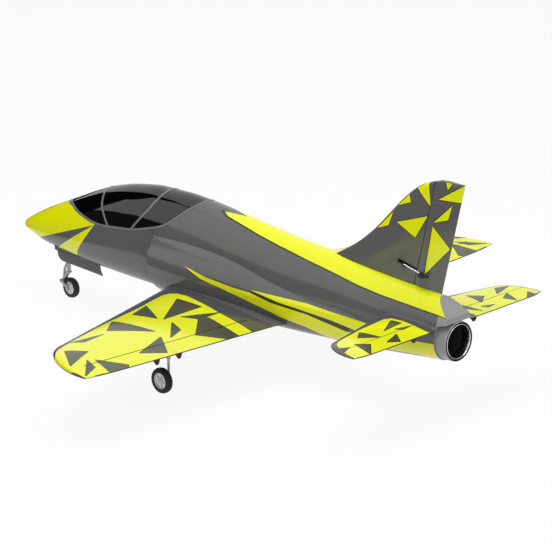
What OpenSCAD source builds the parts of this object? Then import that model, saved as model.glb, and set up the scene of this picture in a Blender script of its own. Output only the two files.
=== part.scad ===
// Radio-controlled sport jet with an electric ducted fan, retracting gear and a lift-up canopy.
// Stations run aft from the nose tip, y points to starboard, and z = 0 is the thrust line.
// place() stands the finished model on its wheels, centred on its length.

/* [Fuselage] */
// Thickness of the foam skin
body_wall = 5; // [4:0.5:6]
// Thickness of the canopy panes and frame
canopy_wall = 3; // [2:0.5:5]
// Gap round the canopy, the hatch and the ends of the control surfaces
panel_gap = 0.5; // [0.3:0.1:0.8]
// Length of the battery pack
battery_len = 140; // [110:5:160]
// Width of the battery pack
battery_w = 44; // [36:1:48]
// Height of the battery pack
battery_h = 40; // [30:1:44]

/* [Fan and nozzle] */
// Bore of the fan housing
fan_bore = 70; // [64:1:74]
// Length of the fan housing
fan_len = 74; // [66:1:84]
// Blades on the fan rotor
fan_blades = 9; // [5:1:11]
// Bore of the exhaust nozzle
nozzle_bore = 62; // [56:1:63]
// Wall of the nozzle ring
nozzle_wall = 4.7; // [3:0.1:6]
// Length of the nozzle ring
nozzle_len = 24; // [18:1:30]

/* [Wing and tail] */
// Distance between the wing tips
span = 1062; // [1000:2:1120]
// Thickness of the wing at its root
wing_root_t = 36; // [32:1:40]
// Thickness of the wing where the tip begins to round
wing_tip_t = 20; // [18:1:24]
// Chord of the flaps and ailerons behind their hinge line
flap_chord = 44; // [38:1:50]
// Distance between the tips of the tailplane
tail_span = 494; // [460:2:520]
// Chord of the elevators behind their hinge line
elevator_chord = 40; // [34:1:44]
// Height of the fin's tip above the thrust line
fin_top = 279; // [265:1:300]
// Diameter of the wing's main spar tube
spar_d = 10; // [8:0.5:12]
// Diameter of the hinge pins
hinge_d = 1.6; // [1.2:0.1:2]

/* [Landing gear] */
// Height of the thrust line above the ground
axis_height = 148; // [142:1:156]
// Distance between the main wheels
wheel_track = 494; // [480:2:510]
// Diameter of the main wheels
main_wheel_d = 48; // [42:1:52]
// Width of the main tyres
main_tyre_w = 16; // [12:1:18]
// Diameter of the nose wheel
nose_wheel_d = 42; // [36:1:44]
// Width of the nose tyre
nose_tyre_w = 14; // [10:1:15]
// Diameter of the wheel axles
axle_d = 4; // [3:0.25:5]

/* [Hidden] */
$fn = 48;

// Radial play of a turning pin, gap of a seated piece, and overlap of one cut past a face
play = 0.05;
seat = 0.3;
past = 1;

// Front of the fan, and the rear end of the foam behind its duct
fan_x = 716;
duct_len = 353;
tail_x = fan_x + fan_len + duct_len;

// Fuselage lines as [station, value]: spine, belly, half width, height of the widest point
spine_line = [[0, -12], [14, -1], [41, 14], [88, 37], [144, 60], [190, 79.5], [236, 98.5], [296, 119],
    [356, 132], [427, 139.5], [485, 139.5], [544, 136], [606, 129], [685, 119], [788, 107], [879, 100],
    [tail_x, 74]];
belly_line = [[0, -18], [14, -23], [41, -30], [88, -40], [144, -45], [236, -51], [356, -54],
    [427, -55], [544, -58], [685, -62], [788, -61], [879, -57], [1010, -50], [tail_x, -38]];
width_line = [[0, 3], [14, 14], [41, 24], [88, 35], [144, 44], [236, 54], [356, 60], [427, 61],
    [544, 61], [685, 60], [788, 57], [879, 54], [980, 51], [1060, 44.5], [tail_x, 38]];
middle_line = [[0, -15], [88, -6], [144, 0], [236, 8], [356, 18], [485, 24], [685, 18], [879, 6],
    [1010, 2], [tail_x, 0]];
// How square the belly is, from 2 for an ellipse
belly_power_line = [[0, 2], [144, 2.3], [427, 2.8], [685, 3], [879, 2.5], [tail_x, 2]];
// How far the intake cheeks stand out, and half the width of the core that splits the two ducts
cheek_line = [[455, 25], [500, 27], [544, 28], [606, 27], [685, 23], [788, 15], [879, 8], [980, 2],
    [1060, 0]];
core_front = 427;
core_rear = fan_x - 26;
core_shares = [[0, 61], [0.1635, 58], [0.3536, 54], [0.5817, 42], [0.8099, 24], [1, 8]];
core_line = [for (p = core_shares) [core_front + (core_rear - core_front) * p[0], p[1]]];
cheek_top = 56;
cheek_low = -54;
lip_x = 455;
lip_rake = 0.2;
// The core lies this far under the cowl's skin where the two meet
core_inset = 0.6;
nose_stations = [0, 14, 41, 88, 144, 190, 236, 296, 356, 427];
core_stations = [for (i = [1:len(core_line) - 1]) core_line[i][0]];
canopy_stations = [144, [485, 544, 606]];
cowl_stations = [500, 544, 606, 685, 788, 879, 980, 1060, tail_x];
bay_front = 96;
bay_rear = 560;
tail_solid_x = tail_x - 31;
// Points of a half section below, on and above the cheek
ring_parts = [3, 7, 5];
// Glued joints between the nose, the middle and the tail of the fuselage
splice_x = [440, fan_x + 164];

// Canopy sill in side view, from the front point round to the rear point on the spine
sill = [[152, 62], [185, 61], [210, 56], [236, 51.5], [263, 47.5], [290, 46], [320, 48], [348, 51],
    [386, 55.5], [430, 65.5], [477, 80], [528, 117], [552, 134.5]];
frame_w = 6;
// The two bows in side view, from under the sill to over the roof
front_bow = [[326, 46], [289, 84], [262, 130]];
rear_bow = [[374, 42], [429, 105], [457, 152]];

// Fan and duct
fan_r = fan_bore / 2;
fan_wall = 1.5;
tip_gap = 0.5;
fan_hub_r = 14;
shaft_r = 1.6;
former_x = fan_x + 30;
former_t = 6;
tube_wall = 0.8;
nozzle_r = nozzle_bore / 2;
tube_exit_r = nozzle_r + tube_wall;
tube_rear_x = tail_x + 5;
nozzle_front_x = tail_x + seat;

// Fan hatch in the belly
hatch_x = [fan_x - 24, fan_x + 130];
hatch_half_w = 40;

// Wing: plane, dihedral, planform and control surfaces, in its own frame
wing_z = -36;
dihedral = atan(0.036);
wing_root_y = 92;
half_span = span / 2;
le_root_x = 478;
le_slope = 0.361;
wing_te_x = 808;
tip_round = 76;
wing_tip_y = half_span - tip_round;
wing_hinge_x = wing_te_x - flap_chord;
wing_nose_r = [5.4, 5.4];
wing_cove_r = [7.4, 7.4];
flap_y = [110, 322];
rib_w = 5;
aileron_y = [flap_y[1] + rib_w, half_span - 31];
pin_reach = 7;
spar_x = [640, 735];
spar_half_len = 200;
rear_pin_y = [66, 150];
rear_pin_d = 6;
spar_lift = 3.6;

// Tailplane
stab_z = 28;
stab_root_y = 48;
stab_te_x = tail_x + 12;
stab_root_chord = 125;
stab_root_le = stab_te_x - stab_root_chord;
stab_le_slope = 0.24;
stab_t = [12, 8];
stab_round = 37;
stab_tip_y = tail_span / 2 - stab_round;
elevator_hinge_x = stab_te_x - elevator_chord;
elevator_y = [62, tail_span / 2 - 12];
elevator_nose_r = [3.9, 2.7];
elevator_cove_r = [5.4, 4.2];
dowel_x = elevator_hinge_x - 25;
dowel_d = 5;
dowel_y = [lookup(dowel_x, width_line) - 10.15, 60];

// Fin and rudder: leading edge as [share of height, distance ahead of the tail], trailing edge and tilted hinge line
fin_edge = [[0, 264], [0.07, 238], [0.33, 170], [0.58, 121], [0.8, 79], [0.93, 51], [1, 21]];
fin_line = [for (p = fin_edge) [p[0], tail_x - p[1]]];
fin_base_z = 100;
fin_low_te = [tail_x - 16, 77];
fin_high_te_x = tail_x + 33;
fin_t = [15, 8];
rudder_chord = 60;
rudder_nose_r = 3.8;
rudder_cove_r = 5.2;
rudder_base = [fin_low_te[0] - rudder_chord, fin_low_te[1]];
rudder_tilt = atan((fin_high_te_x - fin_low_te[0]) / (fin_top - fin_low_te[1]));
rudder_len = (fin_top - fin_low_te[1]) / cos(rudder_tilt);
rudder_low = 6;
rudder_high = rudder_len - 14;
lug_at = 118;
lug_w = 8;
fin_spar_x = tail_x - 143;
overall_len = fin_high_te_x;

// Linkages: span station, servo axis ahead of and above the hinge, and reach of arm and horn
flap_link = [300, -54, -4, [12, -14]];
aileron_link = [352, -54, -4, [12, -14]];
elevator_link = [79, -46, -2, [10, -12]];
rudder_link = [32, -36, 0, [10, -12]];
servo_size = [23, 20, 9];
servo_axis_in = 6;
arm_t = 2;
arm_w = 5;
rod_d = 1.8;
link_pin_d = 1.4;
rod_side = 3;

// Main gear: the leg stands inboard of its wheel and folds inwards about a pin along x
gear_x = 683;
leg_r = 3.5;
wheel_side = 1;
wheel_y = wheel_track / 2;
leg_y = wheel_y - main_tyre_w / 2 - wheel_side - leg_r;
main_pivot_z = wing_z + leg_y * tan(dihedral);
main_axle_z = main_wheel_d / 2 - axis_height;
main_leg_len = main_pivot_z - main_axle_z;
well_y = leg_y - main_leg_len;
well_gap = 1.5;
trunnion_r = 5;
trunnion_w = 16;
pivot_d = 4;
lug_t = 4;
retract_len = 26;

// Nose gear: pivot, trailing link and axle, and the bay that it folds back into
nose_pivot = [130, -20];
nose_axle = [135, nose_wheel_d / 2 - axis_height];
link_run = [22, 13];
link_pivot = nose_axle + [-link_run[0], link_run[1]];
link_arm_t = 2.5;
link_arm_h = 5;
link_boss_r = [3, 3.5];
fork_boss = [3.5, 4];
link_side = 0.5;
link_pin_r = 1.5;
tube_low = nose_pivot[1] - 46;
tube_r = 4.5;
piston_r = 3;
nose_leg_len = nose_pivot[1] - nose_axle[1];
nose_fold_z = nose_pivot[1] + nose_axle[0] - nose_pivot[0];
bay_open = [116, nose_pivot[0] + nose_leg_len + nose_wheel_d / 2 + 8];
bay_half_w = 26;
tray_z = nose_fold_z + nose_wheel_d / 2 + 3.5;
tray_t = 3;
door_hinge = [30, -42];
door_x = [134, bay_open[1]];
door_w = 19;
door_t = 2;
door_barrel_r = 2;
door_lug = [6, 7, 16];

function blend(a, b, t) = a + (b - a) * t;

// One cross-section of the fuselage at a station, with an optional intake cheek
function cheek_bump(z, inset) =
    let (d = z > 0 ? z / (cheek_top - inset) : z / (cheek_low + inset))
    d >= 1 ? 0 : sqrt(1 - pow(d, 3));
function hold(v) = min(0.97, max(0.03, v));
function ring_angles(marks) =
    [for (i = [0:2], k = [0:ring_parts[i] - 1])
        blend(marks[i], marks[i + 1], (1 - cos(180 * k / ring_parts[i])) / 2)];
function body_ring(x, half_w, inset = 0, cheek = undef, rake = 0) =
    let (
        high = lookup(x, spine_line) - inset,
        low = lookup(x, belly_line) + inset,
        mid = lookup(x, middle_line),
        belly_power = lookup(x, belly_power_line),
        plain = is_undef(cheek),
        under = plain ? 0 : hold((mid - cheek_low - inset) / (mid - low)),
        over = plain ? 0 : hold((cheek_top - inset - mid) / (high - mid)),
        marks = [-90, plain ? -50 : -asin(pow(under, belly_power / 2)), plain ? 45 : asin(over), 90],
        half = [for (a = ring_angles(marks))
            let (
                power = a < 0 ? belly_power : 2,
                rise = pow(abs(sin(a)), 2 / power),
                z = a < 0 ? mid - (mid - low) * rise : mid + (high - mid) * rise,
                out = plain ? 0 : cheek * cheek_bump(z, inset),
                y = half_w * pow(cos(a), 2 / power) + sign(cos(a)) * out
            )
            [x + rake * (cheek_top - z), y, z]],
        last = len(half) - 1
    )
    concat(
        half,
        [[x + rake * (cheek_top - high), 0, high]],
        [for (k = [last:-1:1]) [half[k][0], -half[k][1], half[k][2]]]
    );
function core_half(x) = x < core_line[0][0] ? lookup(x, width_line) : lookup(x, core_line);

// Half thickness of a symmetric wing section of unit thickness, and the points round one section
foil_steps = 8;
edge_half = 0.6;
function foil(u) =
    5 * (0.2969 * sqrt(u) - 0.126 * u - 0.3516 * pow(u, 2) + 0.2843 * pow(u, 3) - 0.1036 * pow(u, 4));
function foil_u(k) = (1 - cos(180 * k / foil_steps)) / 2;
function foil_half(u, t) = foil(u) * t + edge_half * u;
function wing_ring(y, le, te, t) = concat(
    [[le, y, 0]],
    [for (k = [1:foil_steps]) [blend(le, te, foil_u(k)), y, foil_half(foil_u(k), t)]],
    [for (k = [foil_steps:-1:1]) [blend(le, te, foil_u(k)), y, -foil_half(foil_u(k), t)]]
);

// A tapered panel with an elliptic tip: [root y, tip start, tip end, edge at y = 0, slope,
// sweep of the tip, trailing edge, root and tip thickness]
wing_plan = [wing_root_y, wing_tip_y, half_span, le_root_x, le_slope, 132, wing_te_x, wing_root_t,
    wing_tip_t];
stab_plan = [stab_root_y, stab_tip_y, tail_span / 2, stab_root_le - stab_le_slope * stab_root_y,
    stab_le_slope, 60, stab_te_x, stab_t[0], stab_t[1]];
tip_steps = [0.4, 0.66, 0.83, 0.95, 0.995];
tip_trim = 7;
function tip_part(plan, y) = max(0, (y - plan[1]) / (plan[2] - plan[1]));
function edge_x(plan, y) =
    plan[3] + plan[4] * y + plan[5] * (1 - sqrt(1 - pow(tip_part(plan, y), 2)));
function plan_ring(plan, y) =
    let (
        s = tip_part(plan, y),
        taper = min(1, (y - plan[0]) / (plan[1] - plan[0])),
        t = blend(plan[7], plan[8], taper) * sqrt(1 - s * s)
    )
    wing_ring(y, edge_x(plan, y), plan[6] - tip_trim * s * s, t);
function plan_stations(plan) = concat(
    [plan[0], plan[1]],
    [for (s = tip_steps) blend(plan[1], plan[2], s)]
);

// Fin section at a share of its height; the lowest one follows the spine
fin_shares = [0, 0.07, 0.33, 0.58, 0.8, 0.93, 1];
function spine_z(x) = lookup(x, spine_line);
function fin_te(z) = fin_low_te[0] + (z - fin_low_te[1]) * tan(rudder_tilt);
function fin_point(u, side, share, gap) =
    let (
        level = blend(fin_base_z, fin_top, share),
        le = lookup(share, fin_line),
        te = share == 0 ? fin_low_te[0] : fin_te(level),
        x = blend(le, te, u),
        t = blend(fin_t[0], fin_t[1], share)
    )
    [x, side * foil_half(u, t), share == 0 ? spine_z(x) + gap : level];
function fin_ring(share, gap) = concat(
    [fin_point(0, 0, share, gap)],
    [for (k = [1:foil_steps]) fin_point(foil_u(k), -1, share, gap)],
    [for (k = [foil_steps:-1:1]) fin_point(foil_u(k), 1, share, gap)]
);

// A solid through a row of rings that each have the same number of points
module loft(rings) {
    m = len(rings[0]);
    last = len(rings) - 1;
    polyhedron(
        points = [for (r = rings) each r],
        faces = concat(
            [[for (j = [0:m - 1]) j]],
            [for (i = [0:last - 1], j = [0:m - 1], half = [0, 1])
                let (a = i * m + j, b = i * m + (j + 1) % m, c = b + m, d = a + m)
                half == 0 ? [a, d, c] : [a, c, b]],
            [[for (j = [m - 1:-1:0]) last * m + j]]
        )
    );
}

module place() {
    translate([-overall_len / 2, 0, axis_height]) children();
}

// side 1 is starboard and side -1 is port
module on_side(side) {
    if (side > 0) children();
    else mirror([0, 1, 0]) children();
}

module in_wing() {
    translate([0, 0, wing_z]) rotate([dihedral, 0, 0]) children();
}

module in_stab() {
    translate([0, 0, stab_z]) children();
}

module in_rudder() {
    translate([rudder_base[0], 0, rudder_base[1]]) rotate([0, rudder_tilt, 0]) children();
}

// A rod from one y to another, and from one x to another
module rod_y(x, y0, y1, z, r) {
    translate([x, y0, z]) rotate([-90, 0, 0]) cylinder(r = r, h = y1 - y0);
}

module rod_x(x0, x1, y, z, r) {
    translate([x0, y, z]) rotate([0, 90, 0]) cylinder(r = r, h = x1 - x0);
}

// A round turned along the thrust line from a half profile of [x, radius] points
module turned(profile) {
    rotate([0, 90, 0]) rotate_extrude() polygon([for (p = profile) [p[1], p[0]]]);
}

module nose_loft(inset = 0) {
    loft(concat(
        [for (x = nose_stations) body_ring(x, lookup(x, width_line) - inset, inset)],
        [for (x = core_stations) body_ring(x, core_half(x) - inset, inset + core_inset)]
    ));
}

module cowl_loft(inset = 0, ends = [0, 0]) {
    loft(concat(
        [body_ring(lip_x - ends[0], lookup(lip_x, width_line) - inset, inset,
            lookup(lip_x, cheek_line), lip_rake)],
        [for (x = cowl_stations)
            body_ring(min(x, tail_x - ends[1]), lookup(x, width_line) - inset, inset,
                lookup(x, cheek_line))]
    ));
}

module bay_loft(inset) {
    xs = concat([bay_front + inset],
        [for (x = concat(nose_stations, core_stations)) if (x > bay_front && x < bay_rear) x],
        [bay_rear - inset]);
    wall = body_wall + inset;
    nose_end = core_line[0][0];
    loft([for (x = xs) body_ring(x, core_half(x) - wall, wall + (x > nose_end ? core_inset : 0))]);
}

// A prism across the fuselage with a side-view outline of [x, z] points
module side_prism(points, half_w) {
    translate([0, half_w, 0]) rotate([90, 0, 0]) linear_extrude(2 * half_w) polygon(points);
}

module above_sill(gap) {
    first = sill[0][0] + gap;
    end = sill[len(sill) - 1][0] - gap;
    line = [for (p = sill) [min(max(p[0], first), end), p[1] + gap]];
    side_prism(concat(line, [[end, fin_top], [first, fin_top]]), wing_root_y);
}

module canopy_loft(inset) {
    xs = concat([for (x = nose_stations) if (x >= canopy_stations[0]) x], canopy_stations[1]);
    loft([for (x = xs) body_ring(x, lookup(x, width_line) - inset, inset)]);
}

module canopy_skin() {
    intersection() {
        difference() {
            canopy_loft(0);
            canopy_loft(canopy_wall);
        }
        above_sill(panel_gap);
    }
}

// Sill band and the two bows that divide the canopy into three panes
module frame_zone() {
    low = [for (p = sill) [p[0], p[1] - past]];
    high = [for (i = [len(sill) - 1:-1:0]) [sill[i][0], sill[i][1] + frame_w]];
    side_prism(concat(low, high), wing_root_y);
    for (bow = [front_bow, rear_bow]) {
        fore = [for (p = bow) [p[0] - frame_w / 2, p[1]]];
        aft = [for (i = [len(bow) - 1:-1:0]) [bow[i][0] + frame_w / 2, bow[i][1]]];
        side_prism(concat(fore, aft), wing_root_y);
    }
}

module canopy_panes() {
    color("#101214") place() difference() {
        canopy_skin();
        frame_zone();
    }
}

module canopy_frame() {
    color("#6a6a6a") place() intersection() {
        canopy_skin();
        frame_zone();
    }
}

// Fairings on the fuselage that carry the wing and tailplane roots; the wing's as [y, reach ahead,
// reach behind, added thickness], and the tailplane's as [reach ahead, added thickness]
wing_fairing = [[40, 24, 8, 26], [72, 12, 3, 9]];
stab_fairing = [16, 10];
module wing_stub() {
    root_le = edge_x(wing_plan, wing_root_y);
    in_wing() loft(concat(
        [for (f = wing_fairing)
            wing_ring(f[0], root_le - f[1], wing_te_x + f[2], wing_root_t + f[3])],
        [wing_ring(wing_root_y - seat, root_le, wing_te_x, wing_root_t)]
    ));
}

module stab_stub() {
    in_stab() loft([
        wing_ring(dowel_y[0] - 2, stab_root_le - stab_fairing[0], stab_te_x, stab_t[0] + stab_fairing[1]),
        wing_ring(stab_root_y - seat, stab_root_le, stab_te_x, stab_t[0]),
    ]);
}

module hatch_box(gap) {
    low = -axis_height;
    translate([hatch_x[0] + gap, -hatch_half_w + gap, low])
        cube([hatch_x[1] - hatch_x[0] - 2 * gap, 2 * (hatch_half_w - gap), cheek_low + 20 - low]);
}

function belly_z(x) = lookup(x, belly_line);
screw_x = [hatch_x[0] + 10, hatch_x[1] - 10];
screw_r = 1.5;
screw_head = [3, 2];
ledge_w = 20;
ledge_t = 7;

// A ledge over each end of the hatch that takes its screw
module hatch_ledges() {
    for (i = [0, 1]) {
        foot_x = i == 0 ? hatch_x[0] - 8 : hatch_x[1];
        x0 = i == 0 ? hatch_x[0] - 8 : screw_x[1] - 6;
        x1 = i == 0 ? screw_x[0] + 6 : hatch_x[1] + 8;
        under = max(belly_z(screw_x[i]), belly_z(foot_x + 4)) + body_wall + seat + 1;
        translate([x0, -ledge_w / 2, under]) cube([x1 - x0, ledge_w, ledge_t]);
        translate([foot_x, -ledge_w / 2, under - 4]) cube([8, ledge_w, 4 + ledge_t]);
    }
}

module screw_bores(r) {
    for (x = screw_x)
        translate([x, 0, belly_z(x) - past]) cylinder(r = r, h = body_wall + ledge_t + 3);
}

// Slope from the foot of the fin down to the nozzle ring
trim_lift = 6;
module tail_trim() {
    rear = tail_x + nozzle_len + nozzle_len;
    side_prism([[fin_low_te[0], spine_z(fin_low_te[0]) + past],
        [tail_x, nozzle_r + nozzle_wall + trim_lift], [rear, nozzle_r], [rear, fin_top],
        [fin_low_te[0], fin_top]], wing_root_y);
}

// Lugs at both ends of a door, and the rail over its barrel that fills up to the belly
module door_lugs(side) {
    y = side * door_hinge[0] - door_lug[1] / 2;
    z = door_hinge[1] - door_lug[1] / 2;
    rail_z = door_hinge[1] + door_barrel_r + panel_gap;
    for (x = [door_x[0] - door_lug[0] - panel_gap, door_x[1] + panel_gap])
        translate([x, y, z]) cube(door_lug);
    translate([door_x[0] - door_lug[0], y, rail_z])
        cube([door_x[1] - door_x[0] + 2 * door_lug[0], door_lug[1], z + door_lug[2] - rail_z]);
}

module door_pins(side, grow = 0) {
    for (x = [door_x[0], door_x[1]])
        rod_x(x - 6 - 6 * grow, x + 6 + 6 * grow, side * door_hinge[0], door_hinge[1],
            hinge_d / 2 + grow);
}

// Room in the belly beside the gear opening for the barrel of one door
module door_slot(side) {
    wide = door_hinge[0] + door_barrel_r + panel_gap - bay_half_w + past;
    translate([door_x[0] - panel_gap, side > 0 ? bay_half_w - past : -bay_half_w + past - wide,
        -axis_height])
        cube([door_x[1] - door_x[0] + 2 * panel_gap, wide,
            axis_height + door_hinge[1] + door_barrel_r + panel_gap]);
}

module spar_rods(grow = 0) {
    z = wing_z + spar_lift;
    rod_y(spar_x[0], -spar_half_len - grow, spar_half_len + grow, z, spar_d / 2 + grow);
    for (side = [-1, 1]) on_side(side)
        rod_y(spar_x[1], rear_pin_y[0] - grow, rear_pin_y[1] + grow, z, rear_pin_d / 2 + grow);
}

module tail_rods(grow = 0) {
    for (side = [-1, 1]) on_side(side)
        rod_y(dowel_x, dowel_y[0] - grow, dowel_y[1] + grow, stab_z, dowel_d / 2 + grow);
    translate([fin_spar_x, 0, spine_z(fin_spar_x) - body_wall + seat - grow])
        cylinder(r = dowel_d / 2 + grow, h = fin_top - spine_z(fin_spar_x) - 90 + 2 * grow);
}

module rudder_pins(grow = 0) {
    r = hinge_d / 2 + grow;
    more = 6 * grow;
    in_rudder() {
        translate([0, 0, -3 - more]) cylinder(r = r, h = rudder_low + 3 + pin_reach + 2 * more);
        translate([0, 0, lug_at - pin_reach - more]) cylinder(r = r, h = lug_w + 2 * (pin_reach + more));
    }
}

module fuselage(x0, x1) {
    color("#6a6a6a") place() difference() {
        union() {
            difference() {
                union() {
                    cowl_loft();
                    for (side = [-1, 1]) on_side(side) {
                        wing_stub();
                        stab_stub();
                    }
                }
                cowl_loft(body_wall, [past, tail_x - tail_solid_x]);
            }
            nose_loft();
            for (side = [-1, 1]) door_lugs(side);
            hatch_ledges();
        }
        bay_loft(0);
        above_sill(0);
        translate([bay_open[0], -bay_half_w, -axis_height])
            cube([bay_open[1] - bay_open[0], 2 * bay_half_w, axis_height - body_wall]);
        hatch_box(0);
        tail_trim();
        rod_x(tail_solid_x - past, tail_x + past, 0, 0, tube_exit_r + seat);
        spar_rods(play);
        tail_rods(play);
        screw_bores(screw_r + play);
        for (side = [-1, 1]) {
            door_pins(side, play);
            door_slot(side);
        }
        rudder_pins(play);
        translate([x0 - overall_len, -half_span, -axis_height])
            cube([overall_len, span, axis_height + fin_top]);
        translate([x1, -half_span, -axis_height]) cube([overall_len, span, axis_height + fin_top]);
    }
}

module fan_hatch() {
    color("#5a5a5a") place() difference() {
        intersection() {
            difference() {
                cowl_loft();
                cowl_loft(body_wall, [past, tail_x - tail_solid_x]);
            }
            hatch_box(panel_gap);
        }
        screw_bores(screw_r + play);
        for (x = screw_x) translate([x, 0, belly_z(x) - past])
            cylinder(r = screw_head[0] + seat, h = past + screw_head[1]);
    }
}

module hatch_screws() {
    color("#8a8c90") place() for (x = screw_x) translate([x, 0, belly_z(x) + seat]) {
        cylinder(r = screw_head[0], h = screw_head[1] - seat);
        cylinder(r = screw_r, h = body_wall + ledge_t - past);
    }
}

// Battery bay
battery_x = 176;
module battery_tray() {
    color("#b98f58") place() intersection() {
        bay_loft(seat);
        translate([bay_front, -wing_root_y, tray_z])
            cube([bay_rear - bay_front, 2 * wing_root_y, tray_t]);
    }
}

module on_tray(x, size) {
    translate([x, -size[1] / 2, tray_z + tray_t + seat]) cube(size);
}

module battery_pack() {
    color("#2a3f8f") place() on_tray(battery_x, [battery_len, battery_w, battery_h]);
}

controller_size = [62, 32, 14];
receiver_size = [46, 24, 12];
bench_gap = 14;
// Speed controller and receiver behind the battery
module electronics() {
    color("#23262a") place() {
        on_tray(battery_x + battery_len + bench_gap, controller_size);
        on_tray(battery_x + battery_len + 2 * bench_gap + controller_size[0], receiver_size);
    }
}

// Fan, duct and nozzle
module fan_former() {
    color("#cbb48a") place() difference() {
        intersection() {
            cowl_loft(body_wall + seat, [past, tail_x - tail_solid_x]);
            translate([former_x, -wing_root_y, -axis_height])
                cube([former_t, 2 * wing_root_y, axis_height + fin_top]);
        }
        rod_x(former_x - past, former_x + former_t + past, 0, 0, fan_r + fan_wall + play);
    }
}

stator_x = [34, 64];
module fan_housing() {
    r1 = fan_r + fan_wall;
    end = fan_x + fan_len;
    flange = [former_x - seat - 2, former_x - seat];
    color("#2b2c2e") place() {
        turned([[fan_x, fan_r + 3], [fan_x + 4, fan_r], [end, fan_r], [end, r1], [flange[1], r1],
            [flange[1], r1 + 4], [flange[0], r1 + 4], [flange[0], r1], [fan_x + 5, r1],
            [fan_x, fan_r + 4]]);
        difference() {
            union() {
                rod_x(fan_x + stator_x[0], fan_x + stator_x[1], 0, 0, fan_hub_r + 2);
                for (i = [0:4]) rotate([72 * i, 0, 0])
                    translate([fan_x + stator_x[0] + 4, -1, fan_hub_r])
                        cube([stator_x[1] - stator_x[0] - 8, 2, fan_r - fan_hub_r + fan_wall / 2]);
            }
            rod_x(fan_x + stator_x[0] - past, fan_x + stator_x[1] + past, 0, 0, fan_hub_r + 2 * play);
        }
    }
}

module fan_motor() {
    color("#b8bcc2") place() {
        rod_x(fan_x + stator_x[0] + 2, fan_x + stator_x[1] + 6, 0, 0, fan_hub_r);
        rod_x(fan_x + 10, fan_x + stator_x[0] + 3, 0, 0, shaft_r);
    }
}

blade_pitch = 38;
blade_chord = 20;
rotor_len = 30;
module fan_rotor() {
    color("#3a3c40") place() {
        turned([[fan_x + 8, shaft_r + play], [fan_x + 8, 8], [fan_x + 12, 12], [fan_x + 16, fan_hub_r],
            [fan_x + rotor_len, fan_hub_r], [fan_x + rotor_len, shaft_r + play]]);
        intersection() {
            for (i = [0:fan_blades - 1]) rotate([360 * i / fan_blades, 0, 0])
                translate([fan_x + 22, 0, fan_hub_r - 1]) rotate([0, 0, blade_pitch])
                    translate([-blade_chord / 2, -0.8, 0]) cube([blade_chord, 1.6, fan_r]);
            rod_x(fan_x, fan_x + rotor_len + 4, 0, 0, fan_r - tip_gap);
        }
    }
}

module thrust_tube() {
    front = fan_x + fan_len + seat;
    color("#1d1e20") place() turned([[front, fan_r], [tail_solid_x, nozzle_r], [tube_rear_x, nozzle_r],
        [tube_rear_x, tube_exit_r], [tail_solid_x, tube_exit_r], [front, fan_r + tube_wall]]);
}

module nozzle_ring() {
    end = tail_x + nozzle_len;
    outer = nozzle_r + nozzle_wall;
    color("#a9a7aa") place() turned([[nozzle_front_x, tube_exit_r + play],
        [tube_rear_x + seat, tube_exit_r + play], [tube_rear_x + seat, nozzle_r], [end, nozzle_r],
        [end, outer - 1.2], [end - 2, outer], [nozzle_front_x, outer]]);
}

// Linkages, in a frame with its origin on the hinge line, x aft, y along the hinge and z up
module at_wing_link(link) {
    in_wing() translate([wing_hinge_x, link[0], 0]) children();
}

module at_stab_link(link) {
    in_stab() translate([elevator_hinge_x, link[0], 0]) children();
}

module at_rudder_link(link) {
    in_rudder() translate([0, 0, link[0]]) rotate([-90, 0, 0]) children();
}

module servo(link) {
    corner = [link[1] + servo_axis_in - servo_size[0], arm_t / 2 + 1.5, link[2] - servo_size[2] / 2];
    translate(corner) cube(servo_size);
    rod_y(link[1], -arm_t / 2, arm_t / 2 + 2, link[2], 1.2);
}

// Pocket for the servo and slot for its arm and rod, open below
module servo_pocket(link, slot_end = 23) {
    deep = 40;
    corner = [link[1] + servo_axis_in - servo_size[0] - seat, arm_t / 2 + 1.5 - seat, -deep];
    grown = [servo_size[0], servo_size[1], 0] + [2, 2, 0] * seat;
    translate(corner) cube(grown + [0, 0, deep + link[2] + servo_size[2] / 2 + seat]);
    translate([link[1] - 9, -rod_side - 2, -deep])
        cube([9 + slot_end, rod_side + 2 + arm_t / 2 + 1.5, deep + link[2] + 4.5]);
}

module link_pin(at, r) {
    rod_y(at[0], -rod_side - 2, arm_t / 2 + past, at[1], r);
}

module servo_arm(link) {
    tip = [link[1], link[2]] + link[3];
    color("#17181a") difference() {
        union() {
            rod_y(link[1], -arm_t / 2, arm_t / 2, link[2], 3.2);
            rod_y(tip[0], -arm_t / 2, arm_t / 2, tip[1], 2.2);
            translate([link[1], 0, link[2]]) rotate([0, atan2(-link[3][1], link[3][0]), 0])
                translate([0, -arm_t / 2, -arm_w / 2]) cube([norm(link[3]), arm_t, arm_w]);
        }
        rod_y(link[1], -arm_t, arm_t, link[2], 1.2 + play);
        link_pin(tip, link_pin_d / 2 + play);
    }
}

module pushrod(link) {
    run = [-link[1], -link[2]];
    tip = [link[1], link[2]] + link[3];
    color("#c9ccd0") {
        translate([tip[0], -rod_side, tip[1]]) rotate([0, 90 - atan2(run[1], run[0]), 0])
            cylinder(d = rod_d, h = norm(run));
        for (at = [tip, link[3]]) rod_y(at[0], -rod_side, arm_t / 2 + 0.6, at[1], link_pin_d / 2);
    }
}

module horn(link) {
    tip = link[3];
    difference() {
        union() {
            rod_y(tip[0], -arm_t / 2, arm_t / 2, tip[1], 2.2);
            translate([0, arm_t / 2, 0]) rotate([90, 0, 0]) linear_extrude(arm_t)
                polygon([tip + [-2.2, 0], tip + [2.2, 0], [tip[0] + 9, -1], [tip[0] - 5, -1]]);
        }
        link_pin(tip, link_pin_d / 2 + play);
    }
}

// Wing panels with their flaps and ailerons
module wing_loft() {
    loft([for (y = plan_stations(wing_plan)) plan_ring(wing_plan, y)]);
}

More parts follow.
